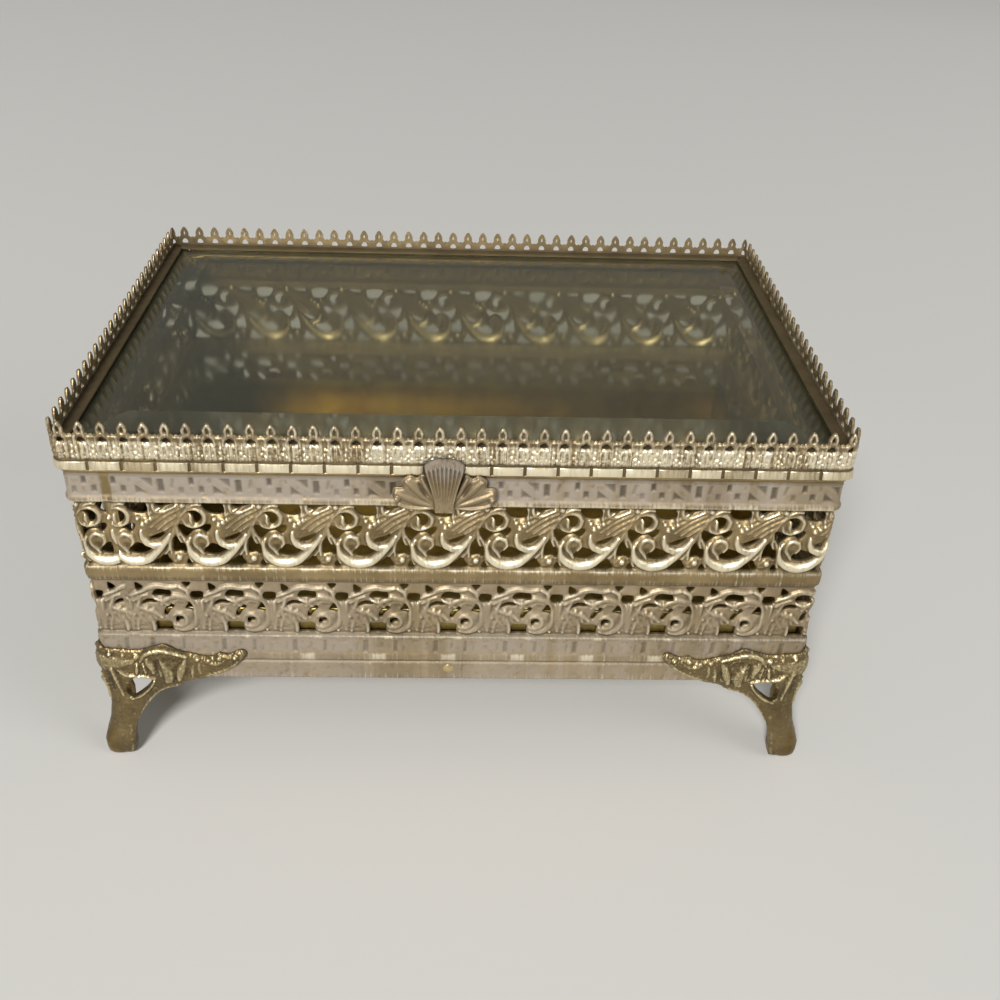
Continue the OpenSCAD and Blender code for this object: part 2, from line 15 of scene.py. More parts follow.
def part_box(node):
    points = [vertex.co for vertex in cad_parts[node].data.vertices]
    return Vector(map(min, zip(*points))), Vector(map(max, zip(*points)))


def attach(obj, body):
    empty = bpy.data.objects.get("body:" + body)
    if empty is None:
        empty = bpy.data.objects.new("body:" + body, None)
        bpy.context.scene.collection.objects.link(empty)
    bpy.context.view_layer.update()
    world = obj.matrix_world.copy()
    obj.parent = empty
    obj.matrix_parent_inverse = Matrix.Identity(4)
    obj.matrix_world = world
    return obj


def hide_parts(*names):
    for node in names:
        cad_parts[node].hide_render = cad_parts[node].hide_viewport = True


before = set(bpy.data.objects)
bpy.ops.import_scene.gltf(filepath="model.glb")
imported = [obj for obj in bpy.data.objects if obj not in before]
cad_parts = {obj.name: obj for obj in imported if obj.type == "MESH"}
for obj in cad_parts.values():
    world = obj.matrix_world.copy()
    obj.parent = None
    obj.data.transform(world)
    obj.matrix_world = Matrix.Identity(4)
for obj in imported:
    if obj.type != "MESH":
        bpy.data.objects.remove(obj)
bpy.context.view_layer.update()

bl_info = {
    "name": "Pierced Gilt Casket",
    "version": (1, 0, 0),
    "blender": (4, 5, 0),
    "location": "View3D > Sidebar > Casket",
    "description": "Builds the pierced walls, cast legs, glass lid and stage of a gilt jewel casket",
    "category": "Object",
}

MM = 0.001


def size_of(node):
    """Width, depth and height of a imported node, in millimetres."""
    low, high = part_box(node)
    return [(b - a) / MM for a, b in zip(low, high)]


def low_of(node, axis):
    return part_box(node)[0][axis] / MM


def high_of(node, axis):
    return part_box(node)[1][axis] / MM


BODY_W, BODY_D = size_of("top_rim")[:2]
LID_W, LID_D = size_of("lid_frame")[:2]
Z_BOX = low_of("wall_front", 2)
Z_RIM = low_of("top_rim", 2)
Z_TOP = high_of("top_rim", 2)
Z_LID = low_of("lid_frame", 2)
Z_LIP = high_of("lid_frame", 2)
Z_LACE = low_of("lace_front", 2)
Z_TIP = high_of("lace_front", 2)
CORNER_R = 2.5
LID_R = 3.0
PAN_R = 1.4
LACE_T = 1.1
TAB_X = (low_of("shell_tab", 0) + high_of("shell_tab", 0)) / 2


# ---------------------------------------------------------------- curves and distances
def smooth(points, steps=8, closed=False):
    """A smooth curve through rows of numbers, with the rows' other columns carried along."""
    p = np.asarray(points, float)
    n = len(p)
    t = (np.arange(steps) / steps)[:, None]
    out = []
    for i in range(n if closed else n - 1):
        near = [(i + k) % n if closed else min(max(i + k, 0), n - 1) for k in (-1, 0, 1, 2)]
        a, b, c, d = p[near]
        out.append(0.5 * (2 * b + (c - a) * t + (2 * a - 5 * b + 4 * c - d) * t ** 2
                          + (3 * b - a - 3 * c + d) * t ** 3))
    out = np.concatenate(out)
    return out if closed else np.vstack([out, p[-1]])


def mirrored(half):
    """A row of points that is the same on both sides of x = 0, from its right half, top first."""
    return [[-x, *rest] for x, *rest in half[:0:-1]] + half


def block(x0, z0, x1, z1):
    """A rectangle's outline, from two opposite corners."""
    return [[x0, z0], [x0, z1], [x1, z1], [x1, z0]]


def inside_by(outline, x, z):
    """How far each point lies inside a closed outline; negative outside."""
    ends = np.roll(outline, -1, axis=0)
    x, z = np.broadcast_arrays(x, z)
    gap = np.full(x.shape, 1e9)
    inside = np.zeros(x.shape, bool)
    for (ax, az), (bx, bz) in zip(outline, ends):
        dx, dz = bx - ax, bz - az
        t = np.clip(((x - ax) * dx + (z - az) * dz) / (dx * dx + dz * dz + 1e-12), 0, 1)
        gap = np.minimum(gap, np.hypot(x - ax - t * dx, z - az - t * dz))
        crosses = (az > z) != (bz > z)
        inside ^= crosses & (x < ax + (z - az) * dx / (dz if dz else 1e-12))
    return np.where(inside, gap, -gap)


def smooth_step(t):
    """Rises smoothly from 0 to 1 while t does."""
    t = np.clip(t, 0, 1)
    return t * t * (3 - 2 * t)


def blur(grid, cells, wraps):
    """Mean over a square of neighbours; the first axis may wrap round."""
    out = grid
    for axis in (0, 1):
        around = wraps and axis == 0
        pad = [(cells, cells) if k == axis else (0, 0) for k in (0, 1)]
        wide = np.pad(out, pad, mode="wrap" if around else "edge")
        total = np.cumsum(wide, axis=axis)
        total = np.concatenate([np.zeros_like(np.take(total, [0], axis)), total], axis)
        n = 2 * cells + 1
        size = out.shape[axis]
        out = (np.take(total, np.arange(n, n + size), axis)
               - np.take(total, np.arange(size), axis)) / n
    return out


PROUD_REACH = 0.8     # how far round a point its surroundings count, to tell proud work from hollows
PROUD_FULL = 0.4      # what stands this far over them is rubbed fully bright, as wear and as a painted highlight


class Relief:
    """A map of stamped or cast work, in millimetres: x along it, z up, heights outwards.
    solid is the distance into the metal, negative where it is cut through."""

    def __init__(self, x0, x1, z0, z1, step, wraps=False, blend=0.2):
        count = round((x1 - x0) / step)
        self.blend = blend
        self.x0, self.z0 = x0, z0
        self.step = (x1 - x0) / count
        self.period = x1 - x0 if wraps else 0
        self.x = x0 + np.arange(count + (not wraps)) * self.step
        self.z = z0 + np.arange(round((z1 - z0) / step) + 1) * step
        self.z_step = step
        self.height = np.zeros((len(self.x), len(self.z)))
        self.solid = np.full(self.height.shape, 9.0)
        self.wash, self.polish, self.shade_and_patina = (np.zeros(self.height.shape) for _ in range(3))

    def windows(self, low, high):
        """The parts of the map that a shape's box reaches, each with the shape's coordinates."""
        for shift in (-self.period, 0, self.period) if self.period else (0,):
            i = np.searchsorted(self.x, (low[0] + shift, high[0] + shift))
            j = np.searchsorted(self.z, (low[1], high[1]))
            if i[0] < i[1] and j[0] < j[1]:
                part = (slice(*i), slice(*j))
                yield part, self.x[part[0]][:, None] - shift, self.z[part[1]][None, :]

    def lay(self, part, top, inside):
        """Lays a shape over the map, run into what is there already, as stamping does."""
        old = self.height[part]
        near = np.maximum(self.blend - np.abs(old - top), 0)
        merged = np.maximum(old, top) + near * near / (4 * self.blend)
        self.height[part] = np.where(inside, merged, old)

    def strand(self, points, lift, foot, at=(0, 0), fullness=0.5, polish=0, lean=0):
        """A rounded strand through [x, z, half width] that rises from foot by lift. With lean,
        its lower side stands out, so that it faces up and catches the light."""
        line = smooth(points, 7)
        line[:, :2] += at
        broad = line[:, 2].max()
        for part, x, z in self.windows(line[:, :2].min(0) - broad, line[:, :2].max(0) + broad):
            rise, top = (np.full(np.broadcast(x, z).shape, -9.0) for _ in range(2))
            for a, b in zip(line[:-1], line[1:]):
                dx, dz = b[0] - a[0], b[1] - a[1]
                t = np.clip(((x - a[0]) * dx + (z - a[1]) * dz) / (dx * dx + dz * dz + 1e-12), 0, 1)
                half = a[2] + t * (b[2] - a[2])
                above = z - a[1] - t * dz
                off = np.hypot(x - a[0] - t * dx, above) / half
                swell = (0.45 + 0.55 * half / broad) * np.maximum(1 - off * off, 0) ** fullness
                rise = np.maximum(rise, np.where(off < 1, swell, -9))
                top = np.maximum(top, np.where(off < 1, lift * swell - lean * above, -9))
            self.lay(part, foot + top, rise >= 0)
            # a painted highlight along the strand, as far as it is polished
            self.polish[part] = np.maximum(self.polish[part], polish * rise)

    def dome(self, outline, lift, foot, shoulder, at=(0, 0)):
        """A low cushion over a closed outline, full height a shoulder's width in."""
        outline = np.asarray(outline, float) + at
        for part, x, z in self.windows(outline.min(0), outline.max(0)):
            d = inside_by(outline, x, z)
            self.lay(part, foot + lift * (1 - (1 - np.clip(d / shoulder, 0, 1)) ** 2), d > 0)

    def press(self, outline, depth, slope, at=(0, 0)):
        """Pushes a closed outline down by depth, with sloped sides, and paints shade into it."""
        outline = np.asarray(outline, float) + at
        for part, x, z in self.windows(outline.min(0), outline.max(0)):
            sunk = depth * np.clip(inside_by(outline, x, z) / slope, 0, 1)
            self.height[part] -= sunk
            self.shade_and_patina[part] = np.maximum(self.shade_and_patina[part], 1.5 * sunk)

    def rub(self, outline, polish, at=(0, 0)):
        """Polishes a closed outline, with a soft edge: wear with a painted highlight."""
        outline = np.asarray(outline, float) + at
        for part, x, z in self.windows(outline.min(0), outline.max(0)):
            shine = polish * smooth_step(inside_by(outline, x, z) / 1.2)
            self.polish[part] = np.maximum(self.polish[part], shine)

    def comb(self, outline, centre, degrees, depth, at=(0, 0)):
        """Fine grooves over a closed outline that fan out from a centre, so many degrees apart."""
        outline, centre = np.asarray(outline, float) + at, np.add(centre, at)
        for part, x, z in self.windows(outline.min(0), outline.max(0)):
            turn = np.degrees(np.arctan2(x - centre[0], z - centre[1]))
            groove = 0.5 - 0.5 * np.cos(2 * math.pi * turn / degrees)
            self.height[part] -= depth * groove * np.clip(inside_by(outline, x, z) / 0.5, 0, 1)

    def bead(self, x0, z0, r, lift, foot, at=(0, 0)):
        """A round pearl."""
        x0, z0 = x0 + at[0], z0 + at[1]
        for part, x, z in self.windows((x0 - r, z0 - r), (x0 + r, z0 + r)):
            q = 1 - ((x - x0) ** 2 + (z - z0) ** 2) / r ** 2
            self.lay(part, foot + lift * np.maximum(q, 0) ** 0.5, q > 0)

    def cut(self, outline, at=(0, 0), reach=2.0):
        """Cuts a closed outline through the metal."""
        outline = np.asarray(outline, float) + at
        for part, x, z in self.windows(outline.min(0) - reach, outline.max(0) + reach):
            self.solid[part] = np.minimum(self.solid[part], -inside_by(outline, x, z))

    def keep(self, outline):
        """Trims the metal to a closed outline."""
        self.solid = np.minimum(self.solid, inside_by(np.asarray(outline, float),
                                                      self.x[:, None], self.z[None, :]))

    def finish(self, edge_drop, edge_width, soft_mm):
        """Rolls the cut edges over, softens the work as stamping does, and works out where
        it is rubbed bright, with a painted highlight, and where it holds dirt and painted shade."""
        self.height -= edge_drop * (1 - np.clip(self.solid / edge_width, 0, 1)) ** 2
        soft = max(1, round(soft_mm / self.step / 2))
        wraps = self.period > 0
        self.height = blur(self.height, soft, wraps)
        # what stands proud gets wear and a painted highlight; the hollows get dirt and painted shade
        stands = self.height - blur(self.height, round(PROUD_REACH / self.step), wraps)
        self.wear_and_highlight = np.clip(stands / PROUD_FULL + self.polish, 0, 1)
        self.dirt = np.clip(np.maximum((-stands - 0.05) / PROUD_FULL, self.shade_and_patina) - self.polish, 0, 1)

    def read(self, grid, x, z):
        """Values of a map at every x by z."""
        fx = (np.asarray(x) - self.x0) / self.step
        fx = np.mod(fx, len(self.x)) if self.period else np.clip(fx, 0, len(self.x) - 1.001)
        fz = np.clip((np.asarray(z) - self.z0) / self.z_step, 0, len(self.z) - 1.001)
        i, j = fx.astype(int), fz.astype(int)
        u, v = (fx - i)[:, None], (fz - j)[None, :]
        i2 = (i + 1) % len(self.x)
        at = grid[np.ix_(i, j)] * (1 - v) + grid[np.ix_(i, j + 1)] * v
        at2 = grid[np.ix_(i2, j)] * (1 - v) + grid[np.ix_(i2, j + 1)] * v
        return at * (1 - u) + at2 * u


class Track:
    """The way round a rectangle with rounded corners: s = 0 at the front's middle, towards +x."""

    def __init__(self, width, depth, radius):
        self.half = (width / 2 - radius, depth / 2 - radius)
        self.radius = radius
        self.bend = math.pi * radius / 2
        self.sides = (2 * self.half[0], 2 * self.half[1]) * 2
        self.length = sum(self.sides) + 4 * self.bend

    def spans(self):
        """Where each side starts and ends; the front and the back keep the corners' bends."""
        front_end = self.sides[0] / 2 + self.bend
        right_end = front_end + self.sides[1]
        back_end = self.length - right_end
        return {"front": (-front_end, front_end), "right": (front_end, right_end),
                "back": (right_end, back_end), "left": (back_end, self.length - front_end)}

    def place(self, s, out, z):
        """Points at distances s along, out from the face, at heights z, in metres."""
        corners = np.array([(-1, -1), (1, -1), (1, 1), (-1, 1)]) * self.half
        t = np.mod(s + self.sides[0] / 2, self.length)
        core, turn = np.zeros((len(t), 2)), np.zeros(len(t))
        start = 0
        for k, side in enumerate(self.sides):
            here = (t >= start) & (t <= start + side + self.bend)
            along = np.clip((t[here] - start) / side, 0, 1)[:, None]
            core[here] = corners[k] + (corners[(k + 1) % 4] - corners[k]) * along
            turn[here] = (k - 1 + np.clip((t[here] - start - side) / self.bend, 0, 1)) * math.pi / 2
            start += side + self.bend
        reach = self.radius + out
        return np.stack([core[:, 0] + reach * np.cos(turn), core[:, 1] + reach * np.sin(turn), z], 1) * MM


# ---------------------------------------------------------------- meshes
def placed(name, data):
    """A new object in the scene for a mesh, a lamp or a camera."""
    thing = bpy.data.objects.new(name, data)
    bpy.context.scene.collection.objects.link(thing)
    return thing


def mesh_of(name, points, faces, sharp=(), attributes=None):
    """A smooth-shaded mesh object from points in metres and rows of three or four indices."""
    mesh = bpy.data.meshes.new(name)
    corners = faces.shape[1]
    mesh.vertices.add(len(points))
    mesh.vertices.foreach_set("co", np.asarray(points, np.float32).ravel())
    mesh.loops.add(faces.size)
    mesh.loops.foreach_set("vertex_index", faces.astype(np.int32).ravel())
    mesh.polygons.add(len(faces))
    mesh.polygons.foreach_set("loop_start", np.arange(0, faces.size, corners, dtype=np.int32))
    mesh.update(calc_edges=True)
    mesh.shade_smooth()
    if len(sharp):
        ends = np.empty(len(mesh.edges) * 2, np.int64)
        mesh.edges.foreach_get("vertices", ends)
        ends = np.sort(ends.reshape(-1, 2), axis=1)
        wanted = np.sort(np.asarray(sharp, np.int64), axis=1)
        is_sharp = np.isin(ends @ [len(points), 1], wanted @ [len(points), 1])
        mesh.attributes.new("sharp_edge", "BOOLEAN", "EDGE").data.foreach_set("value", is_sharp)
    for key, values in (attributes or {}).items():
        layer = mesh.attributes.new(key, "FLOAT", "POINT")
        layer.data.foreach_set("value", np.asarray(values, np.float32).ravel())
    return placed(name, mesh)


def triangles_of(solid):
    """Triangles over a grid of distances, cut where the distance changes sign. Returns them
    with, for each cut point, its two grid corners and how far it lies from the first."""
    nx, nz = solid.shape
    ids = np.arange(nx * nz).reshape(nx, nz)
    a, b, c, d = ids[:-1, :-1], ids[1:, :-1], ids[1:, 1:], ids[:-1, 1:]
    odd = (np.add.outer(np.arange(nx - 1), np.arange(nz - 1)) % 2 > 0)[..., None]
    halves = [np.where(odd, np.stack([a, b, d], -1), np.stack([a, b, c], -1)),
              np.where(odd, np.stack([b, c, d], -1), np.stack([a, c, d], -1))]
    tris = np.concatenate([h.reshape(-1, 3) for h in halves])
    v = solid.ravel()
    inside = v[tris] > 0
    count = inside.sum(1)

    def turned(chosen, first):
        rows = np.arange(len(chosen))[:, None]
        return chosen[rows, (first[:, None] + [0, 1, 2]) % 3]

    one = turned(tris[count == 1], inside[count == 1].argmax(1))
    two = turned(tris[count == 2], (~inside[count == 2]).argmax(1))
    pairs = np.concatenate([one[:, [0, 1]], one[:, [0, 2]], two[:, [1, 0]], two[:, [2, 0]]])
    key = pairs.min(1) * v.size + pairs.max(1)
    _, first, back = np.unique(key, return_index=True, return_inverse=True)
    ends = pairs[first]
    t = np.clip(v[ends[:, 0]] / (v[ends[:, 0]] - v[ends[:, 1]] + 1e-12), 0.08, 0.92)
    cut = v.size + back
    p, q = np.split(cut[:2 * len(one)], 2)
    r, s = np.split(cut[2 * len(one):], 2)
    faces = np.concatenate([tris[count == 3], np.stack([one[:, 0], p, q], 1),
                            np.stack([r, two[:, 1], two[:, 2]], 1), np.stack([r, two[:, 2], s], 1)])
    return faces, ends, t


def sheet(name, x, z, solid, front, back, place, attributes, behind=None):
    """A closed sheet with a front and a back surface over the grid x by z, pierced where
    solid is negative. place turns (x, out, z) into points. behind holds the attributes of
    the back, where they are not the front's."""
    faces, ends, t = triangles_of(solid)

    def spread(grid):
        flat = np.asarray(grid, float).ravel()
        return np.concatenate([flat, flat[ends[:, 0]] * (1 - t) + flat[ends[:, 1]] * t])

    gx, gz = (spread(g) for g in np.meshgrid(x, z, indexing="ij"))
    used, faces = np.unique(faces, return_inverse=True)
    faces = faces.reshape(-1, 3)
    n = len(used)
    gx, gz = gx[used], gz[used]
    points = np.concatenate([place(gx, spread(side)[used], gz) for side in (front, back)])
    edges = faces[:, [0, 1, 1, 2, 2, 0]].reshape(-1, 2)
    open_edges = edges[~np.isin(edges @ [n, 1], edges @ [1, n])]
    a, b = open_edges.T
    rim = np.concatenate([np.stack([b, a, a + n], 1), np.stack([b, a + n, b + n], 1)])
    faces = np.concatenate([faces, faces[:, ::-1] + n, rim])
    behind = {**attributes, **(behind or {})}
    values = {key: np.concatenate([spread(grid)[used], spread(behind[key])[used]])
              for key, grid in attributes.items()}
    return mesh_of(name, points, faces, np.concatenate([open_edges, open_edges + n]), values)


def sweep(name, track, s, section, attributes=None):
    """A closed ring along the track. section is [out, z] for one loop of points, or an array
    of such loops, one for each s."""
    section = np.broadcast_to(np.asarray(section, float), (len(s),) + np.shape(section)[-2:])
    n, m = section.shape[:2]
    points = track.place(np.repeat(s, m), section[..., 0].ravel(), section[..., 1].ravel())
    i, j = np.meshgrid(np.arange(n), np.arange(m), indexing="ij")
    i2, j2 = (i + 1) % n, (j + 1) % m
    faces = np.stack([i * m + j, i2 * m + j, i2 * m + j2, i * m + j2], -1).reshape(-1, 4)
    return mesh_of(name, points, faces, attributes=attributes)


def ring_solid(name, rings, crease=None):
    """A closed solid through rings of points in metres, flat at both ends. Its sides are
    smooth up to the angle crease, in degrees, or flat where there is none."""
    made = bmesh.new()
    loops = [[made.verts.new(point) for point in ring] for ring in rings]
    for a, b in zip(loops, loops[1:]):
        for k in range(len(a)):
            made.faces.new((a[k - 1], a[k], b[k], b[k - 1]))
    made.faces.new(loops[0][::-1])
    made.faces.new(loops[-1])
    bmesh.ops.recalc_face_normals(made, faces=made.faces)
    mesh = bpy.data.meshes.new(name)
    made.to_mesh(mesh)
    made.free()
    if crease:
        mesh.shade_smooth()
        mesh.set_sharp_from_angle(angle=math.radians(crease))
    return placed(name, mesh)


def joined(name, things):
    """Joins pieces into one, named name."""
    for thing in things:
        thing.select_set(False)
    with bpy.context.temp_override(active_object=things[0], selected_editable_objects=things):
        bpy.ops.object.join()
    things[0].name = name
    things[0].data.name = name
    return things[0]


def finished(thing, body, material, slot, *nodes):
    """Gives a piece its finish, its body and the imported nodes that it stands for."""
    thing.data.materials.clear()
    thing.data.materials.append(material)
    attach(thing, body)
    if nodes:
        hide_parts(*nodes)
    return thing


# ---------------------------------------------------------------- materials
def linear(code):
    """An sRGB hex colour as linear RGBA."""
    channels = [int(code[i:i + 2], 16) / 255 for i in (1, 3, 5)]
    return [c / 12.92 if c <= 0.04045 else ((c + 0.055) / 1.055) ** 2.4 for c in channels] + [1]


def node(tree, kind, settings=None, links=None):
    """Adds a node. settings are its properties or its sockets' values, links its sources."""
    made = tree.nodes.new("ShaderNode" + kind)
    for key, value in (settings or {}).items():
        if isinstance(key, str) and hasattr(made, key):
            setattr(made, key, value)
        else:
            made.inputs[key].default_value = linear(value) if isinstance(value, str) else value
    for key, source in (links or {}).items():
        tree.links.new(source, made.inputs[key])
    return made


def new_material(name):
    material = bpy.data.materials.new(name)
    material.use_nodes = True
    material.node_tree.nodes.clear()
    return material, material.node_tree


def per_mm(size):
    """Texture scale for a feature of this many millimetres."""
    return 1 / (size * MM)


def worked_metal(name, dark, gold, bright, pale, shade_and_patina, grain_mm, rough):
    """Gilded or lacquered brass. Gives the eye a warm metal that is rubbed bright, with a painted
    highlight, where it stands proud, brown with old polish and painted shade in the hollows and
    dulled in patches by a pale wash. The stamped pieces carry these three as the attributes
    wear_and_highlight, dirt and wash."""
    material, tree = new_material(name)
    place = node(tree, "TexCoord").outputs["Object"]
    wear_and_highlight, dirt, wash = (node(tree, "Attribute", {"attribute_name": key}).outputs["Fac"]
                          for key in ("wear_and_highlight", "dirt", "wash"))
    blotch = node(tree, "TexNoise", {"Scale": per_mm(9), "Detail": 5.0, "Roughness": 0.65},
                  {"Vector": place})
    flecks = node(tree, "TexNoise", {"Scale": per_mm(1.6), "Detail": 3.0, "Roughness": 0.6},
                  {"Vector": place})
    # drawing marks: upright streaks some 0.6 mm apart, coarser than the real ones so that they show
    drawn = node(tree, "Mapping", {"Scale": (per_mm(0.6), per_mm(0.6), per_mm(9))}, {"Vector": place})
    streaks = node(tree, "TexNoise", {"Scale": 1.0, "Detail": 2.0}, {"Vector": drawn.outputs[0]})
    grain = node(tree, "TexNoise", {"Scale": per_mm(grain_mm), "Detail": 2.0}, {"Vector": place})

    tone = node(tree, "ValToRGB", {}, {"Fac": blotch.outputs["Fac"]})
    for element, at, colour in zip(tone.color_ramp.elements, (0.36, 0.64), (dark, gold)):
        element.position, element.color = at, linear(colour)
    uneven = node(tree, "Math", {"operation": "MULTIPLY_ADD", 1: 0.9, 2: -0.45},
                  {0: streaks.outputs["Fac"]})
    # wear and painted highlights turn the metal towards the bright colour
    wear_and_highlight_by = node(tree, "Math", {"operation": "ADD"}, {0: wear_and_highlight, 1: uneven.outputs[0]})
    shine = node(tree, "MapRange", {"From Min": 0.2, "From Max": 1.0}, {"Value": wear_and_highlight_by.outputs[0]})
    wear_and_glint = node(tree, "Mix", {"data_type": "RGBA", 7: bright},
                {0: shine.outputs["Result"], 6: tone.outputs["Color"]})
    patch = node(tree, "MapRange", {"From Min": 0.24, "From Max": 0.46, "To Min": 0.35},
                 {"Value": flecks.outputs["Fac"]})
    veil = node(tree, "Math", {"operation": "MULTIPLY", "use_clamp": True},
                {0: wash, 1: patch.outputs["Result"]})
    washed = node(tree, "Mix", {"data_type": "RGBA", 7: pale}, {0: veil.outputs[0], 6: wear_and_glint.outputs[2]})
    # dirt and painted shade turn the metal towards the patina colour
    grime_and_shade = node(tree, "MapRange", {"From Min": 0.05, "To Max": 0.9}, {"Value": dirt})
    colour = node(tree, "Mix", {"data_type": "RGBA", 7: shade_and_patina},
                  {0: grime_and_shade.outputs["Result"], 6: washed.outputs[2]})

    dull = node(tree, "Math", {"operation": "MAXIMUM"}, {0: veil.outputs[0], 1: grime_and_shade.outputs["Result"]})
    metal = node(tree, "MapRange", {"To Min": 1.0, "To Max": 0.2}, {"Value": dull.outputs[0]})
    matt = node(tree, "MapRange", {"To Min": rough, "To Max": min(rough + 0.3, 0.9)},
                {"Value": dull.outputs[0]})
    rougher = node(tree, "Math", {"operation": "MULTIPLY_ADD", 1: 0.3, 2: -0.15},
                   {0: streaks.outputs["Fac"]})
    roughness = node(tree, "Math", {"operation": "ADD", "use_clamp": True},
                     {0: matt.outputs["Result"], 1: rougher.outputs[0]})
    fine = node(tree, "Bump", {"Strength": 0.4, "Distance": 0.012 * MM}, {"Height": grain.outputs["Fac"]})
    marks = node(tree, "Bump", {"Strength": 0.5, "Distance": 0.03 * MM},
                 {"Height": streaks.outputs["Fac"], "Normal": fine.outputs["Normal"]})
    dents = node(tree, "Bump", {"Strength": 0.5, "Distance": 0.12 * MM},
                 {"Height": flecks.outputs["Fac"], "Normal": marks.outputs["Normal"]})
    shader = node(tree, "BsdfPrincipled", {},
                  {"Base Color": colour.outputs[2], "Metallic": metal.outputs["Result"],
                   "Roughness": roughness.outputs[0], "Normal": dents.outputs["Normal"]})
    node(tree, "OutputMaterial", {}, {"Surface": shader.outputs[0]})
    return material


def window_glass():
    """Soda-lime plate glass, ground to a bevel and polished, with a film of dust. Gives the
    eye a clear grey-green pane with a soft haze over its reflection."""
    material, tree = new_material("bevelled_plate_glass")
    place = node(tree, "TexCoord").outputs["Object"]
    dust = node(tree, "TexNoise", {"Scale": per_mm(14), "Detail": 6.0, "Roughness": 0.65},
                {"Vector": place})
    rough = node(tree, "MapRange", {"From Min": 0.3, "From Max": 0.7, "To Min": 0.02, "To Max": 0.09},
                 {"Value": dust.outputs["Fac"]})
    pane = node(tree, "BsdfPrincipled",
                {"Base Color": "#cbcab4", "Transmission Weight": 1.0, "IOR": 1.52},
                {"Roughness": rough.outputs["Result"]})
    film = node(tree, "BsdfDiffuse", {"Color": "#5a5b4b"})
    share = node(tree, "MapRange", {"From Min": 0.3, "From Max": 0.75, "To Min": 0.07, "To Max": 0.19},
                 {"Value": dust.outputs["Fac"]})
    dusty = node(tree, "MixShader", {},
                 {0: share.outputs["Result"], 1: pane.outputs[0], 2: film.outputs[0]})
    # lamps reach through the pane, so that the box is lit inside
    ray = node(tree, "LightPath")
    clear = node(tree, "BsdfTransparent", {"Color": "#fbf7ea"})
    lit = node(tree, "MixShader", {},
               {0: ray.outputs["Is Shadow Ray"], 1: dusty.outputs[0], 2: clear.outputs[0]})
    node(tree, "OutputMaterial", {}, {"Surface": lit.outputs[0]})
    return material


def finish_named(name):
    """The casket's finishes, each made once."""
    if name in bpy.data.materials:
        return bpy.data.materials[name]
    colours = bpy.context.scene.casket_finish
    gold, wear_and_glint, pale, shade_and_patina = (hex_of(colour) for colour in
                              (colours.gilt, colours.wear_and_highlight, colours.wash, colours.patina))
    if name == "gilt_stamped_brass":  # thin brass sheet, stamped, pierced, gilded and washed
        return worked_metal(name, "#8a7650", gold, wear_and_glint, pale, shade_and_patina, grain_mm=0.25, rough=0.4)
    if name == "gilt_inside":  # the pan: smooth rolled sheet under amber lacquer
        return worked_metal(name, "#776636", "#9c8b50", "#bfae70", pale, shade_and_patina, grain_mm=0.4, rough=0.34)
    if name == "gilt_casting":  # cast legs: a grainier skin, olive with age
        return worked_metal(name, "#675839", "#8e7a52", "#dccd9f", pale, shade_and_patina, grain_mm=0.3, rough=0.38)
    if name == "plain_brass":  # turned pins, screws and hinges, hardly gilded
        return worked_metal(name, "#65553a", "#8c7750", "#ae9a70", pale, shade_and_patina, grain_mm=0.35, rough=0.44)
    raise ValueError(f"no finish is called {name}")


def hex_of(colour):
    """A property's linear colour as an sRGB hex code."""
    channels = [12.92 * c if c <= 0.0031308 else 1.055 * c ** (1 / 2.4) - 0.055 for c in colour[:3]]
    return "#" + "".join(f"{round(255 * min(max(c, 0), 1)):02x}" for c in channels)


# ---------------------------------------------------------------- pierced walls
MOTIF = 17.2          # one repeat of the scroll pattern
FIRST = 40.3          # where one repeat starts on the front, from its middle
SEAM = -78.2          # where the strip's two ends meet, near the front left corner
STRETCH = 1.0084      # the other three sides are drawn out a little, as their repeats show
MAIN_FOOT = 34        # the main scroll band's foot over the strip's lower edge
LOW_FOOT = 13.7       # the low one's
KEY_FEET = (51.6, 6)  # and the two embossed bands'
LOW_SHIFT = -14.9     # how far the low scrolls lie along from the main ones
GROUND = -1.5         # the ground between the scrolls, behind the moulding's face
STEM_FOOT = -1.32     # where stems rise from
BEAD_FOOT = -1.4      # and beads
SHEET_T = 0.75        # thickness of the stamped sheet
DEEPEST = -2.35       # the furthest back that the sheet reaches
LAP_HALF = 1.1        # half the width of the lap where the strip's ends meet

# heights across the strip, from its lower edge: plain border, groove, bead, embossed band,
# rail, low scrolls, rib, main scrolls, bead, embossed band; 0 is the moulding's face
STRIP_BANDS = [(0, -0.55), (0.3, -0.3), (1.3, -0.35), (5.2, -0.35), (5.5, -0.7), (5.8, -0.7), (6.2, -0.35),
               (7, -0.25), (7.8, -0.3), (8.4, -0.5), (12.4, -0.5), (12.8, -0.45), (13.4, -0.5),
               (13.9, -1.5), (29.4, -1.5), (30, -0.85), (31, -0.6), (33, -0.55), (33.8, -0.8), (34.1, -1.5),
               (51.4, -1.5), (51.9, -1.4), (52.1, -0.35), (52.5, 0), (53.3, 0), (53.8, -0.25),
               (54.1, -0.45), (58.9, -0.45), (59.2, -0.6), (60, -0.6)]
# how far the pale wash covers it
STRIP_WASH = [(0, 0.8), (6, 0.7), (8, 0.45), (9, 0.9), (13, 0.8), (14, 0.6), (29, 0.5), (31, 0.12),
              (34, 0.1), (50, 0.12), (52, 0.3), (53.5, 0.7), (54, 0.95), (59, 1), (60, 0.7)]
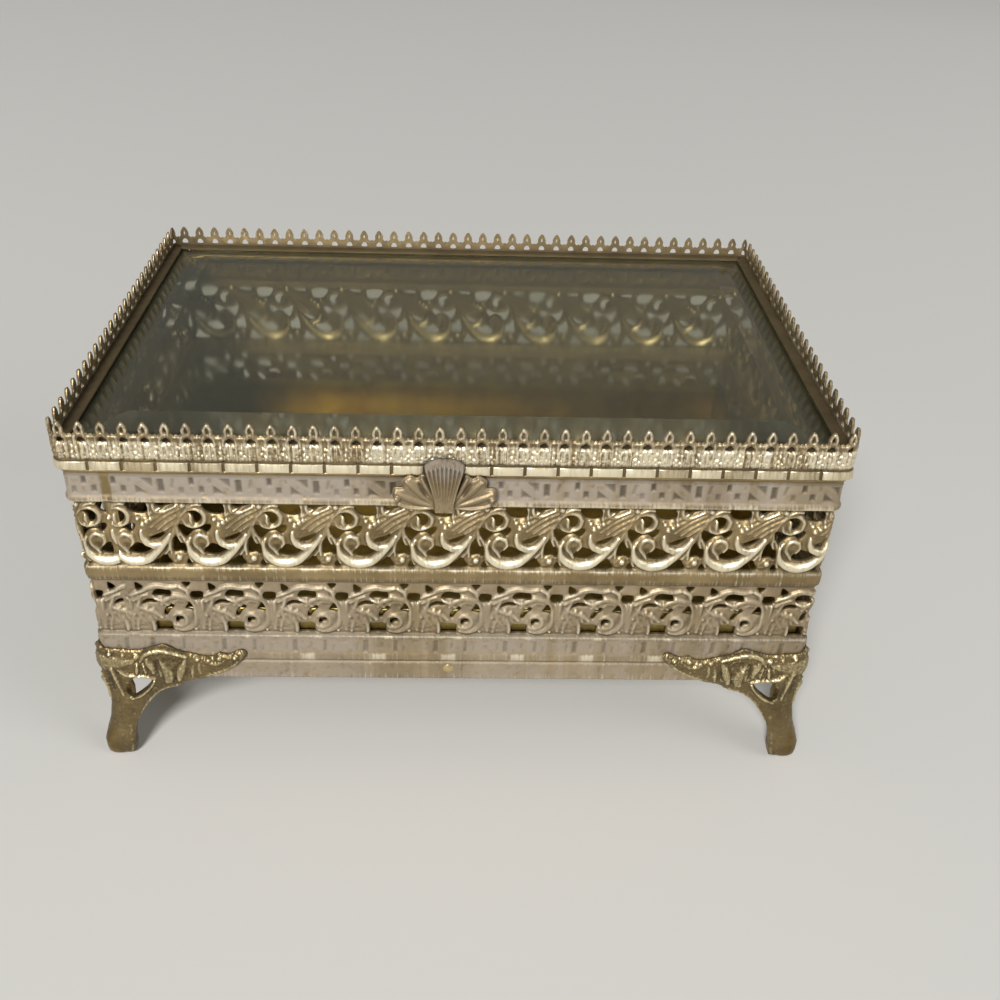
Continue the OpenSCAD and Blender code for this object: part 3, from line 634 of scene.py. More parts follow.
# painted shade in dark lines: over the border, under the upper rail, and in the lid's shade
STRIP_PAINTED_SHADE = [(0, 0.1), (0.5, 0), (5.3, 0), (5.6, 0.55), (5.8, 0.55), (6.1, 0), (12.6, 0), (13.2, 0.4),
              (14.2, 0.45), (14.6, 0), (29.3, 0), (29.6, 0.5), (30.5, 0.45), (31.2, 0.05), (33, 0.05),
              (33.5, 0.4), (34, 0.5), (34.4, 0.1), (51.2, 0), (51.6, 0.8), (51.9, 0.7), (52.1, 0),
              (58.6, 0), (59, 0.35), (60, 0.5)]
# how strongly the rolls have scratched it
ROLLED = [(0, 1), (1.6, 0.8), (2, 0.25), (5.2, 0.25), (6, 0.6), (8, 0.5), (8.6, 0.1), (13.2, 0.5),
          (14.6, 0), (29.6, 0), (30, 1), (31.2, 0.7), (32, 0.3), (33.8, 0.5), (34.4, 0), (51.8, 0),
          (52.4, 0.8), (53.6, 0.4), (54.4, 0.1)]

# one repeat of the main scrolls: windows, leaves, stems as [x, z, half width], pearls and hollows
MAIN_HOLES = [
    [[-0.9, 11.6], [0.6, 11], [2.4, 10.5], [4, 10.7], [5.2, 11.4], [6.4, 11.4], [6.3, 10.3], [5.2, 9.2],
     [4, 10], [2.6, 9.8], [1.4, 8.7], [0.5, 7.9], [-0.5, 9.4]],
    [[1.6, 15.2], [3.3, 15.5], [4.4, 14.6], [4.5, 13.2], [3.7, 12.2], [2.9, 12.4], [2.7, 14.1]],
    [[4.1, 4.1], [5.2, 5.4], [6.3, 6.2], [7.4, 5.8], [9.5, 5.3], [9, 4], [7.3, 3.1], [5.2, 3.1]],
    [[9.2, 7.4], [11.1, 7.2], [12.7, 8.4], [13, 9.2], [11.3, 8.7]],
    [[5, 17.3], [6.4, 14.6], [9.7, 14.6], [9.7, 17.3]],
    [[11.9, 17.3], [12.3, 16.3], [14.2, 16.5], [15.9, 17.3]],
    [[8.7, 0.2], [13.5, 0.2], [13, 1.9], [12.4, 3.1], [10.8, 1.8]],
    [[14.4, 3.9], [14.7, 7.3], [15.4, 8], [16.3, 6.8], [17.4, 6.2], [17.5, 3.8], [16, 3.9]],
    [[16.9, 0.2], [18.5, 0.2], [17.6, 1.8]]]
MAIN_LEAVES = [
    [[7.8, 8.6], [7, 11], [6.6, 13.4], [9.8, 14.2], [10.6, 17], [11.6, 15.6], [13, 15], [16, 17],
     [18.4, 17.2], [17.6, 14.4], [15.8, 11.8], [14.6, 9.2], [13.6, 9.8], [11.4, 9.2], [9.2, 8]],
    [[0.9, 7], [1.5, 8.8], [3, 9.7], [4.9, 9.2], [5.9, 7.6], [5.4, 6], [4, 5.2], [2.2, 5.6]],
    [[13.5, 2.2], [13.9, 0.8], [15.2, 0.4], [16.5, 1.2], [16.7, 2.8], [15.9, 3.7], [14.6, 3.6]],
    [[-4.2, 11.6], [-2.8, 14.6], [-0.6, 16.8], [0.6, 15.6], [-0.2, 12.8]],
    [[-0.6, 12], [0.2, 14.8], [2, 16.6], [4.6, 16.8], [6.2, 15], [6, 12.6], [4.4, 11.2], [2, 10.8],
     [0.2, 11.2]]]
MAIN_STRANDS = [
    [[1.4, 8, 0.25], [0.9, 6.2, 0.45], [1.3, 4, 0.8], [2.8, 2.3, 1.1], [5.4, 1.5, 1.3], [8.2, 2.1, 1.25],
     [10.1, 3.7, 1.1], [11.7, 5.5, 0.95], [13.1, 7.3, 0.75], [14.2, 9.2, 0.4]],
    [[4.1, 3.5, 0.35], [3.4, 4.8, 0.5], [2.4, 6.4, 0.6], [2.6, 8, 0.65], [3.8, 8.9, 0.65], [5.2, 8.2, 0.6],
     [5.5, 6.8, 0.45], [4.9, 5.6, 0.3]],
    [[-0.9, 8.8, 0.3], [-0.9, 11.6, 0.36], [0.2, 14.4, 0.45], [2.1, 15.9, 0.55], [4, 15.9, 0.6],
     [5.3, 14.5, 0.6], [5.1, 12.6, 0.55], [4, 11.6, 0.5], [2.4, 11.2, 0.5], [1, 11.9, 0.5],
     [0.5, 13.3, 0.4]],
    [[-0.2, 12.8, 0.3], [1, 15.6, 0.36], [3, 17, 0.4], [5, 17, 0.4], [6.4, 15.4, 0.36]],
    [[2.5, 14.6, 0.35], [2.2, 13.1, 0.55], [2.5, 11.7, 0.4]],
    [[7.7, 9.8, 0.4], [7.9, 8, 0.75], [8.9, 6.5, 1], [10.6, 5.9, 1], [12.2, 6.6, 0.6]],
    [[8.8, 11, 0.3], [10.8, 13, 0.42], [13.2, 14.9, 0.42], [16.4, 16.7, 0.35]],
    [[10, 10.8, 0.25], [12.2, 12.8, 0.38], [14.6, 14.6, 0.4], [17.4, 16, 0.3]],
    [[11.6, 10.2, 0.25], [13.4, 12, 0.38], [15.6, 13.6, 0.38], [17.6, 14.8, 0.28]],
    [[13, 10, 0.25], [14.6, 11.3, 0.36], [16.2, 12.6, 0.34], [17.6, 13.4, 0.25]],
    [[10.4, 14.4, 0.25], [11.8, 15.4, 0.35], [13.4, 16.6, 0.3]],
    [[3, 6.8, 0.28], [3.1, 8.4, 0.34]],
    [[4.5, 7.2, 0.28], [4.7, 8.7, 0.32]],
    [[12.4, 3.3, 0.3], [13.5, 5, 0.36], [14.2, 7.8, 0.4], [15.5, 11, 0.4], [17.3, 14.4, 0.35]],
    [[13.9, 3.4, 0.3], [14.1, 6.6, 0.32], [15.2, 9.2, 0.35], [15.9, 11, 0.3]],
    [[1.2, 1.2, 0.35], [0.6, 3.8, 0.45], [0.5, 6, 0.42], [0.1, 7.6, 0.36], [-0.6, 9.2, 0.35]],
    [[-0.2, 3.4, 0.3], [-0.1, 5.4, 0.36], [-0.8, 7.2, 0.36], [-1.3, 9.4, 0.36], [-1.2, 11.6, 0.3]],
    [[10.2, 14.2, 0.35], [10.1, 15.8, 0.4], [10.2, 17.6, 0.4]],
    [[11.3, 17.6, 0.4], [11.4, 16, 0.45], [12.2, 15.1, 0.5], [13.8, 15.4, 0.4]]]
MAIN_BEADS = [[15.6, 2.5, 0.75], [7.5, 13.4, 0.5], [8.4, 11.8, 0.6], [10.4, 13.4, 0.5], [9.4, 12.6, 0.6],
              [0.8, 17.1, 0.7]]
MAIN_DENTS = [
    ([[2.8, 4.7], [2.9, 6.3], [4.4, 6.6], [5, 5.6], [4.1, 4.5]], 0.35),
    ([[8.6, 8.9], [9.6, 8.3], [12.2, 9.3], [12.6, 10.4], [10.4, 10.9], [8.9, 10.3]], 0.3)]

# and of the low ones
LOW_HOLES = [
    [[7.3, 5.2], [8, 5], [9, 6.6], [10.1, 7.7], [9.6, 8.4], [8.6, 8], [7.5, 6.6]],
    [[5.2, 11], [5.8, 12.5], [7.5, 13], [9.3, 12.7], [9.8, 11.4], [8.4, 11], [7, 10.9]],
    [[2.5, 8.3], [2.8, 9.3], [4.2, 10], [6.1, 9.5], [5.8, 8.8], [4.2, 8.9]],
    [[12.5, 7.2], [13.4, 8.7], [14, 9.4], [14.6, 8.2], [14.4, 6.8], [13.2, 6.9]],
    [[14.4, 12.2], [17.2, 12.2], [17.1, 10.4], [15.8, 10.1], [14.5, 10.5]],
    [[12.5, 15], [14.7, 15], [13.6, 13.6]],
    [[5.1, 0.4], [5.1, 1.6], [5.1, 3], [7, 3.1], [8.9, 3], [8.9, 1.6], [8.9, 0.4], [7, 0.4]],
    [[9.9, 3.5], [10.1, 4.6], [10.9, 5], [11.9, 4.6], [11.7, 3.9], [10.9, 3.7], [10.4, 3]],
    [[1.5, 12.9], [1.6, 14.9], [3.3, 13.6], [2.2, 12.7]]]
LOW_LEAVES = [
    [[-2.6, 1.6], [-2, 5], [0, 8], [3, 7.8], [5.4, 6.4], [6.4, 4.4], [4.4, 3.4], [3.8, 1], [0, 0.8]],
    [[-0.8, 9.4], [1.4, 11.6], [4.6, 11.4], [6.4, 10.2], [3, 10.4]],
    [[8.6, 9], [8.4, 10.8], [10.8, 12.2], [13.8, 11], [14, 9.8], [12.2, 7.8], [10.4, 8.2]],
    [[14.4, 5.4], [14.8, 9.8], [17, 9.8], [17.6, 7.4], [16.6, 3.6]],
    [[8.2, 4.4], [9.6, 6.6], [11.6, 6.9], [13.6, 5.6], [13.9, 3.2], [12.6, 1.2], [10, 0.8], [8.6, 2.2]]]
LOW_STRANDS = [
    [[7.2, 8.6, 0.35], [8.2, 10, 0.55], [10.2, 11.2, 0.7], [12.6, 10.8, 0.6], [13.8, 10, 0.35]],
    [[12.2, 13.8, 0.4], [13.6, 12.8, 0.45], [14.1, 10.4, 0.4], [15, 7, 0.5], [15, 4.2, 0.55],
     [13.8, 2, 0.6], [11.6, 0.9, 0.5], [9.8, 1.2, 0.35]],
    [[16.8, 9.8, 0.4], [16.6, 6.5, 0.45], [16.2, 3.6, 0.4], [16.4, 1.4, 0.3]],
    [[0.2, 11.3, 0.35], [2.6, 12.4, 0.45], [4.6, 13.6, 0.55], [6.8, 14.1, 0.6], [9.5, 13.7, 0.5],
     [11.4, 14, 0.35]],
    [[1.2, 8.2, 0.35], [3, 7, 0.5], [5.2, 6.2, 0.5], [6.8, 4.6, 0.35]],
    [[2.4, 10.6, 0.3], [1.4, 7.6, 0.42], [1.6, 5.2, 0.42], [2.8, 3.2, 0.35]],
    [[9.7, 5.4, 0.3], [11, 5.9, 0.4], [12.3, 5.2, 0.45], [12.7, 3.8, 0.45], [12, 2.5, 0.45], [10.6, 2, 0.4],
     [9.4, 2.6, 0.3]],
    [[4.6, 0.6, 0.35], [4.6, 2.6, 0.42], [4, 4.6, 0.35]],
    [[-0.6, 1.4, 0.3], [-0.2, 4.6, 0.42], [1, 7.4, 0.36]],
    [[14.2, 12, 0.3], [15.6, 9.6, 0.36], [16, 6.8, 0.34], [15.7, 4.4, 0.25]],
    [[10, 9, 0.25], [11.2, 10, 0.32], [13, 9.6, 0.28]],
    [[4.2, 11.6, 0.25], [2.6, 11, 0.32], [0.6, 9.6, 0.3]],
    [[3.6, 7.6, 0.25], [3.2, 5.4, 0.34], [3.6, 3.4, 0.28]],
    [[5, 7.2, 0.25], [5, 5.4, 0.32], [5.4, 4.2, 0.25]],
    [[8.8, 8.2, 0.28], [7.4, 9.6, 0.36], [5.8, 10.4, 0.3]],
    [[0.6, 0.8, 0.28], [1, 3.4, 0.36], [2.2, 6, 0.3]]]
LOW_DENTS = [
    ([[10.9, 8.2], [11, 9.6], [12.6, 9.6], [12.8, 8.4]], 0.2),
    ([[-0.4, 1.4], [-0.2, 2.4], [3, 2.4], [3, 1.4]], 0.2)]
LOW_BEADS = [[0.4, 5.6, 0.45], [14.6, 1.2, 0.4]]
# the upper embossed band's pits: two that leave a slanting bar, and square ones beside them
KEY_PITS = [
    ([[8.2, 2.8], [8.2, 5.6], [11.2, 2.8]], 0.5),
    ([[9.3, 7.1], [12.4, 7.1], [12.4, 4.1]], 0.5),
    (block(13.2, 3.2, 14.9, 6.8), 0.6),
    (block(3, 5.1, 4.4, 7.3), 0.65),
    (block(5, 3, 6.5, 5), 0.55),
    ([[15.9, 4.2], [16.4, 7], [17.6, 7], [16.9, 4.2]], 0.3),
    (block(0.6, 2.8, 2.1, 4.8), 0.35),
    (block(6.9, 5.6, 7.7, 7), 0.3)]
# the lower embossed band's upright bars
LOW_PITS = [
    ([[5.3, 2.4], [5.5, 6.3], [7, 6.6], [6.8, 2.4]], 0.34),
    ([[12.8, 2.5], [13.1, 6.4], [14.2, 6.4], [14, 2.5]], 0.32),
    ([[3.5, 2.7], [3.9, 5.6], [4.7, 5.6], [4.4, 2.7]], 0.2),
    ([[9.6, 3.8], [9.8, 6], [10.8, 5.4], [10.5, 3.6]], 0.24),
    ([[15, 2.5], [15.2, 4.8], [16, 4.8], [15.8, 2.5]], 0.26),
    ([[0.2, 5.4], [0.4, 6.6], [2.4, 6.6], [2.2, 5.4]], 0.14),
    (block(2, -3.4, 2.6, -1.8), 0.2),
    ([[6.8, -3.6], [6.9, -1.6], [7.4, -1.6], [7.3, -3.6]], 0.26),
    (block(12.3, -3.4, 13, -1.9), 0.2)]
# lengths of the two beads that are rubbed bright, with painted highlights
BRIGHT_LENGTHS = [
    (block(7, 5.2, 11.4, 8.6), 0.9),
    (block(10.6, 12.2, 13.2, 13.8), 0.6),
    (block(3.6, 51.6, 11.4, 53.8), 0.7)]


def stamp_scrolls(work, at, leaves, strands, beads, dents, holes, lift, fuller, root, turn):
    """Stamps and pierces one band of scrolls. lift scales its relief, fuller its stems, and its
    leaves are combed with grooves that fan out from root, turn degrees apart."""
    for outline in leaves:
        outline = smooth(outline, 4, closed=True)
        work.dome(outline, 0.42 * lift, GROUND, shoulder=1, at=at)
        work.comb(outline, root, turn, depth=0.16, at=at)
    for outline, depth in dents:
        work.press(smooth(outline, 3, closed=True), depth, slope=0.5, at=at)
    for line in strands:
        # a thin stem stands as high as it is wide; a bold scroll stands higher, leaning, and polished with a
        # painted highlight
        broad = max(row[2] for row in line)
        bold = np.clip((broad - 0.8) / 0.45, 0, 1)
        work.strand(np.multiply(line, (1, 1, fuller)), lift * min(0.34 + 0.5 * broad, 1), STEM_FOOT, at,
                    polish=0.95 * bold, lean=0.35 * bold)
    for x, z, r in beads:
        work.bead(x, z, r, 0.4 * lift, BEAD_FOOT + 0.5 * lift, at)
    for outline in holes:
        work.cut(smooth(outline, 3, closed=True), at)


def stamped_repeat():
    """One repeat of the strip that all four walls are bent from."""
    work = Relief(0, MOTIF, 0, Z_RIM - Z_BOX, step=0.1, wraps=True)
    for grid, table in ((work.height, STRIP_BANDS), (work.wash, STRIP_WASH), (work.shade_and_patina, STRIP_PAINTED_SHADE)):
        grid += np.interp(work.z, *zip(*table))
    # the low scrolls are stamped fainter and softer than the main ones
    stamp_scrolls(work, (0, MAIN_FOOT), MAIN_LEAVES, MAIN_STRANDS, MAIN_BEADS, MAIN_DENTS, MAIN_HOLES,
                  lift=1.15, fuller=1, root=(1, -2), turn=4.5)
    stamp_scrolls(work, (LOW_SHIFT, LOW_FOOT), LOW_LEAVES, LOW_STRANDS, LOW_BEADS, LOW_DENTS, LOW_HOLES,
                  lift=0.85, fuller=1.3, root=(4, -5), turn=7)
    for foot, pits in zip(KEY_FEET, (KEY_PITS, LOW_PITS)):
        for outline, depth in pits:
            work.press(outline, 0.8 * depth, slope=0.45, at=(0, foot))
    for outline, shine in BRIGHT_LENGTHS:
        work.rub(outline, shine)
    work.finish(edge_drop=0.3, edge_width=0.5, soft_mm=0.2)
    return work


def strip_phase(s, length):
    """Where along the pattern each distance round the box falls."""
    s = np.where(s < SEAM, s + length, s)
    corner = BODY_W / 2
    return np.where(s < corner, s, corner + (s - corner) * STRETCH) - FIRST


def build_walls(sizes):
    track = Track(BODY_W, BODY_D, CORNER_R)
    work = stamped_repeat()
    rng = np.random.default_rng(3)
    tall = Z_RIM - Z_BOX
    z = np.linspace(0, tall, round(tall / sizes.mesh_step) + 1)

    def place(a, out, b):
        return track.place(a, out, b + Z_BOX)

    for side, (start, end) in track.spans().items():
        s = np.linspace(start, end, round((end - start) / sizes.mesh_step) + 1)
        phase = strip_phase(s, track.length)
        height, solid, wear_and_highlight, dirt, wash, polish = (
            work.read(grid, phase, z)
            for grid in (work.height, work.solid, work.wear_and_highlight, work.dirt, work.wash, work.polish))
        # upright scratches from the rolls, on the border's foot, the rail and the upper bead
        rolled = np.interp(z, *zip(*ROLLED)) * rng.normal(0, 1, (len(s), 1))
        height, wear_and_highlight = height + 0.05 * rolled, np.clip(wear_and_highlight + 0.3 * rolled, 0, 1)
        # the lap where the strip's ends meet, brown where solder has run along the upper band
        lap = np.exp(-((s - SEAM) / LAP_HALF) ** 4)[:, None] * (side == "front")
        solid = np.where(lap > 0.2, 1, solid)
        height = height * (1 - lap) + lap * np.maximum(height - 0.2, -1.3)
        browned = lap * (z > KEY_FEET[0])
        dirt, wash = np.maximum(dirt, 0.45 * browned), wash * (1 - browned)
        # aged unevenly along the strip
        along = rng.normal(0, 1, (len(s), 1)) * np.ones(len(z))
        aged = np.clip(9 * blur(along, cells=45, wraps=False), 0, 1)
        wash, dirt = wash * (1 - 0.4 * aged), np.clip(dirt + 0.14 * aged, 0, 1)
        back = np.maximum(blur(height, 1, False) - SHEET_T, DEEPEST)
        # inside, only the hollows behind the boldest scrolls and beads get painted highlights; the rest is
        # painted shade
        among_scrolls = (z > LOW_FOOT + 1) * (z < KEY_FEET[0])
        hollow_glint = np.clip(np.maximum(2 * polish - 0.5, (height + 0.7) / 0.3), 0, 1) * among_scrolls
        thing = sheet(f"wall_{side}_work", s, z, solid, height, back, place,
                      {"wear_and_highlight": wear_and_highlight, "dirt": dirt, "wash": wash},
                      {"wear_and_highlight": hollow_glint, "dirt": 0.85 * (1 - hollow_glint), "wash": 0 * wash})
        finished(thing, "box", finish_named("gilt_stamped_brass"), "worn_gilt", f"wall_{side}")


# ---------------------------------------------------------------- rim and pan
def bends(track, every, corner_steps=6):
    """Distances round a track, close together at its corners."""
    marks, start = [], -track.sides[0] / 2
    for side in track.sides:
        marks.append(np.linspace(start, start + side, max(2, round(side / every)), endpoint=False))
        marks.append(start + side + np.arange(corner_steps) * track.bend / corner_steps)
        start += side + track.bend
    return np.concatenate(marks)


def build_rim_and_pan(sizes):
    track = Track(BODY_W, BODY_D, CORNER_R)
    rim = sweep("top_rim_bead", track, bends(track, 4),
                [(-2.8, Z_RIM), (-0.7, Z_RIM), (-0.3, Z_RIM + 0.1), (-0.05, Z_RIM + 0.35),
                 (0, Z_RIM + 0.6), (-0.05, Z_TOP - 0.35), (-0.3, Z_TOP - 0.1), (-0.7, Z_TOP),
                 (-2.6, Z_TOP), (-2.8, Z_TOP - 0.2)])
    finished(rim, "box", finish_named("gilt_stamped_brass"), "worn_gilt", "top_rim")

    low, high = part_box("base_pan")
    half_w, half_d = high[0] / MM, high[1] / MM
    z0, z1 = low[2] / MM, high[2] / MM
    pan_track = Track(2 * half_w, 2 * half_d, PAN_R)
    s = bends(pan_track, 6, 5)
    # from the floor's underside round the turned-up edge, with its pressed bead, to the floor's top
    section = [(-1.3, z0), (-0.9, z0 + 0.05), (-0.35, z0 + 0.3), (0, z0 + 1.1), (0, z1 - 0.2),
               (-0.2, z1), (-0.6, z1), (-0.8, z1 - 0.2), (-0.8, z1 - 1.2), (-1, z1 - 1.5),
               (-1, z1 - 1.9), (-0.8, z1 - 2.2), (-0.8, z0 + 1.6), (-0.95, z0 + 1.1), (-1.3, z0 + 0.8)]
    rings = [pan_track.place(s, np.full(len(s), out), np.full(len(s), z)) for out, z in section]
    pan = ring_solid("base_pan_sheet", rings, crease=35)
    finished(pan, "box", finish_named("gilt_inside"), "inner_gilt", "base_pan")


# ---------------------------------------------------------------- legs
WING_REACH = 37.4     # how far a wing reaches from the corner
LEG_TOP = 36.6        # height of the wings' map
WING_FOOT = 20        # the height at which the wings' ornament begins
LEG_OUTLINE = [[4, 0], [5, 1], [5.5, 3], [5.6, 5], [5.9, 7.5], [6.5, 10], [7.9, 12.8], [9.9, 16],
               [12.6, 19.3], [15.4, 21.3], [17.8, 22.1], [19.6, 22.4], [20.4, 23.4], [22.6, 24.2],
               [25.2, 24.9], [28.6, 26.6], [32, 28.4], [35.4, 31], [36.6, 33.2], [35.4, 34.4], [33.4, 33.5],
               [31.8, 33], [30, 33.4], [28.4, 32.4], [26.2, 32.3], [23.6, 33], [21, 33.7], [19, 34.6],
               [17, 35.8], [14.6, 35.6], [12, 34.6], [9.4, 34], [5, 34.3], [2, 34.6], [-3, 34.8], [-3, 0]]
LEG_EYE = [[4.9, 19.6], [6.4, 22.6], [7.6, 24.5], [9.6, 24.9], [12, 24.2], [10.9, 21.6], [8.4, 19],
           [6.4, 17.8]]
# how far the leg's face stands out from the box's, by height
LEG_STANCE = [(0, 1.3), (0.6, 2.1), (1.8, 2.7), (4.5, 2.8), (6.5, 2.4), (10, 1.1), (15, 0.2), (20.5, -0.1),
              (25, 0.7), (29, 0.9), (37, 0.9)]
LEG_BACK = [(0, -1.2), (6.5, -1), (10, -1.6), (15, -2), (20, -1.9), (24.6, -1.2), (25.2, 0.02), (37, 0.02)]
# lobes and stems as [x, z, half width], with how far each is polished and given a painted highlight
LEG_STRANDS = [
    (0.1, [[6.3, 8, 0.3], [7.6, 12, 0.45], [9.7, 15.6, 0.55], [12.3, 18.9, 0.6], [15.2, 21.2, 0.55],
           [18.4, 22.4, 0.4]]),
    (0.1, [[6.2, 17.4, 0.3], [8.6, 18.6, 0.4], [11.2, 21.2, 0.42], [12.8, 24, 0.4]]),
    (0.2, [[0.2, 27, 0.4], [0.5, 24, 0.6], [0.6, 21, 0.5], [0.8, 17.6, 0.3]]),
    (0.1, [[3, 28.6, 0.5], [3.6, 25, 0.65], [3.9, 21.6, 0.5], [4.2, 18.6, 0.3]]),
    (0.3, [[4.6, 28, 0.5], [6.2, 26.4, 0.6], [8.6, 25.9, 0.5], [11, 25.8, 0.5], [13.2, 25, 0.4]]),
    (0.35, [[11.8, 32, 0.5], [12.6, 30.4, 1.1], [13.2, 28.4, 0.8], [13.2, 27, 0.4]]),
    (0.4, [[15.2, 31.6, 0.4], [16, 29.4, 1], [16.8, 27, 1.5], [16.6, 24.9, 1.2]]),
    (0.35, [[21.6, 31.9, 0.5], [20.6, 29.6, 1.1], [19.6, 27, 1.1], [19.1, 24.8, 0.6]]),
    (0.2, [[24.8, 30.8, 0.4], [24.6, 28.8, 0.7], [24.9, 27, 0.4]]),
    (0.3, [[26.4, 31, 0.4], [28.6, 30.4, 0.6], [31, 31.2, 0.4]]),
    (0.4, [[23.4, 30.4, 0.35], [22.9, 28, 0.6], [22.6, 26, 0.4]]),
    (0.5, [[9.4, 29.6, 0.3], [9.1, 28, 0.5], [8.9, 26.6, 0.3]]),
    (0.2, [[10.8, 29.8, 0.3], [11.2, 28, 0.4], [11.2, 26.4, 0.3]]),
    (0.1, [[14.7, 30.4, 0.3], [14.8, 28, 0.45], [14.9, 25.6, 0.3]]),
    (0.1, [[10.4, 31, 0.5], [12, 33.4, 0.8], [15.2, 34.6, 0.9], [18.6, 33.9, 0.8], [21.6, 32.6, 0.5]]),
    (0.1, [[24.6, 26, 0.3], [28, 27.2, 0.5], [31.6, 29, 0.5], [34.6, 31.2, 0.3]])]
LEG_LEAVES = [
    (0.35, [[0.4, 28], [0.2, 33], [3, 32.8], [7, 31.8], [9.4, 30.8], [8, 29.4], [5.2, 28.2], [2.6, 27.6]]),
    (0, [[10.4, 30.6], [12, 33.8], [15, 35.2], [18, 35], [20.8, 33.4], [22.8, 32.4], [20.4, 31.4],
         [14.4, 31.2]]),
    (0, [[22.4, 25.2], [21.6, 32.4], [25, 31.9], [29, 32.2], [33, 33], [36, 33.6], [35.4, 31.4],
         [31.6, 28.6], [26.4, 26]])]
LEG_BEADS = [[24.4, 31.8, 0.7], [27, 31.6, 0.6], [29.8, 32, 0.65], [33.6, 32.4, 0.5], [9.6, 32.4, 0.7],
             [6.4, 32.9, 0.6], [3.2, 33.2, 0.6]]
LEG_DENTS = [
    ([[1.4, 20.6], [1.3, 27], [2.3, 27.4], [2.8, 24.4], [2.7, 20.6]], 0.4),
    ([[8.6, 30.2], [10.2, 31], [10.4, 28.4], [9.9, 26.8], [9.7, 29]], 0.25),
    ([[17.8, 31.4], [18.9, 31.2], [19.2, 28.6], [18.2, 28.4]], 0.25),
    ([[13.9, 31], [15, 31], [15.2, 28.6], [14.2, 28]], 0.25),
    ([[20.9, 26.6], [21.8, 27.4], [21.6, 25.4], [20.8, 25]], 0.3)]


def build_legs(sizes):
    track = Track(BODY_W, BODY_D, CORNER_R)
    half_bend = track.bend / 2
    work = Relief(0, WING_REACH, 0, LEG_TOP, step=0.2)
    work.keep(smooth(LEG_OUTLINE, 2, closed=True))
    work.cut(smooth(LEG_EYE, 3, closed=True))
    for polish, outline in LEG_LEAVES:
        outline = smooth(outline, 4, closed=True)
        work.dome(outline, lift=0.5, foot=0, shoulder=1.6)
        work.rub(outline, polish)
    for polish, line in LEG_STRANDS:
        broad = min(max(row[2] for row in line) / 0.9, 1)
        work.strand(line, 0.3 + 0.8 * broad, foot=0, polish=0.6 * polish, lean=0.2)
    for x, z, r in LEG_BEADS:
        work.bead(x, z, r, lift=0.6, foot=0.3)
    for outline, depth in LEG_DENTS:
        work.press(smooth(outline, 3, closed=True), depth, slope=0.4)
    work.finish(edge_drop=0.5, edge_width=0.7, soft_mm=0.2)
    face = np.interp(work.z, *zip(*LEG_STANCE)) - 0.35
    behind = np.interp(work.z, *zip(*LEG_BACK))
    # the wing's outline counts from the corner; along the bent face the corner is half a bend away
    along = np.maximum(work.x - (CORNER_R - half_bend), 0) * (work.x > 0)
    keep = np.concatenate([[0], np.nonzero(along > 0)[0]])
    s = np.concatenate([-along[keep][:0:-1], along[keep]])
    solid, height, wear_and_highlight, dirt = (np.concatenate([grid[keep][:0:-1], grid[keep]]) for grid in
                                   (work.solid, work.height, work.wear_and_highlight, work.dirt))
    rng = np.random.default_rng(5)
    grains = blur(rng.normal(0, 1, height.shape), 1, False) * 3
    on_wing = smooth_step((work.z - WING_FOOT) / 6)
    height = height + (0.02 + 0.06 * on_wing) * grains
    # behind the wing the casting is thin at its edges and thick down the column
    front, back = face + height, np.minimum(behind, face + height - 0.4)
    corner = track.sides[0] / 2 + half_bend
    # the right front leg carries the most painted glints, in specks
    for name, mirror_x, mirror_y, wear_and_glint in (("front_right", 1, 1, 0.9), ("front_left", -1, 1, 0.35),
                                           ("back_right", 1, -1, 0.35), ("back_left", -1, -1, 0.35)):
        speck_glints = wear_and_glint * on_wing * smooth_step((grains - 0.9) / 0.8)
        flip = Matrix.Diagonal((mirror_x, mirror_y, 1, 1))

        def place(a, out, b):
            return track.place(a + corner, out, b) * (mirror_x, mirror_y, 1)

        shell = sheet(f"leg_{name}_wing", s, work.z, solid, front, back, place,
                      {"wear_and_highlight": np.clip(wear_and_highlight - 0.12 * grains + speck_glints, 0, 1),
                       "dirt": np.clip(1.2 * dirt + 0.15 + 0.15 * grains - speck_glints, 0, 1),
                       "wash": np.full(solid.shape, 0.08)})
        core = leg_core(f"leg_{name}_core", flip)
        if mirror_x * mirror_y < 0:
            shell.data.flip_normals()
            core.data.flip_normals()
        leg = joined(f"leg_{name}_casting", [shell, core])
        finished(leg, "box", finish_named("gilt_casting"), "cast_gilt", f"leg_{name}")


# the column that fills the leg's fold: height, how far its axis lies in from the corner, radius
COLUMN = [(0, 1.1, 2.2), (0.3, 1.05, 2.8), (1, 1, 3.2), (2.4, 1, 3.4), (4.6, 1, 3.4), (6.6, 1.3, 3.1),
          (9, 2, 2.7), (12, 2.9, 2.5), (15, 3.6, 2.3), (18, 4, 2), (21, 3.9, 1.6), (24.6, 3.6, 1.2)]


def leg_core(name, flip):
    """The solid foot and column in the leg's fold, as rings from the floor up."""
    around = 28
    turn = np.arange(around) * 2 * math.pi / around
    # a rounded square, fuller than a circle
    full = (np.abs(np.cos(turn)) ** 2.6 + np.abs(np.sin(turn)) ** 2.6) ** (-1 / 2.6)
    rings = []
    for z, inset, r in COLUMN:
        x, y = BODY_W / 2 - inset + r * full * np.cos(turn), -BODY_D / 2 + inset + r * full * np.sin(turn)
        rings.append([Vector(point) * MM for point in zip(x, y, [z] * around)])
    core = ring_solid(name, rings, crease=60)
    core.data.transform(flip)
    return core


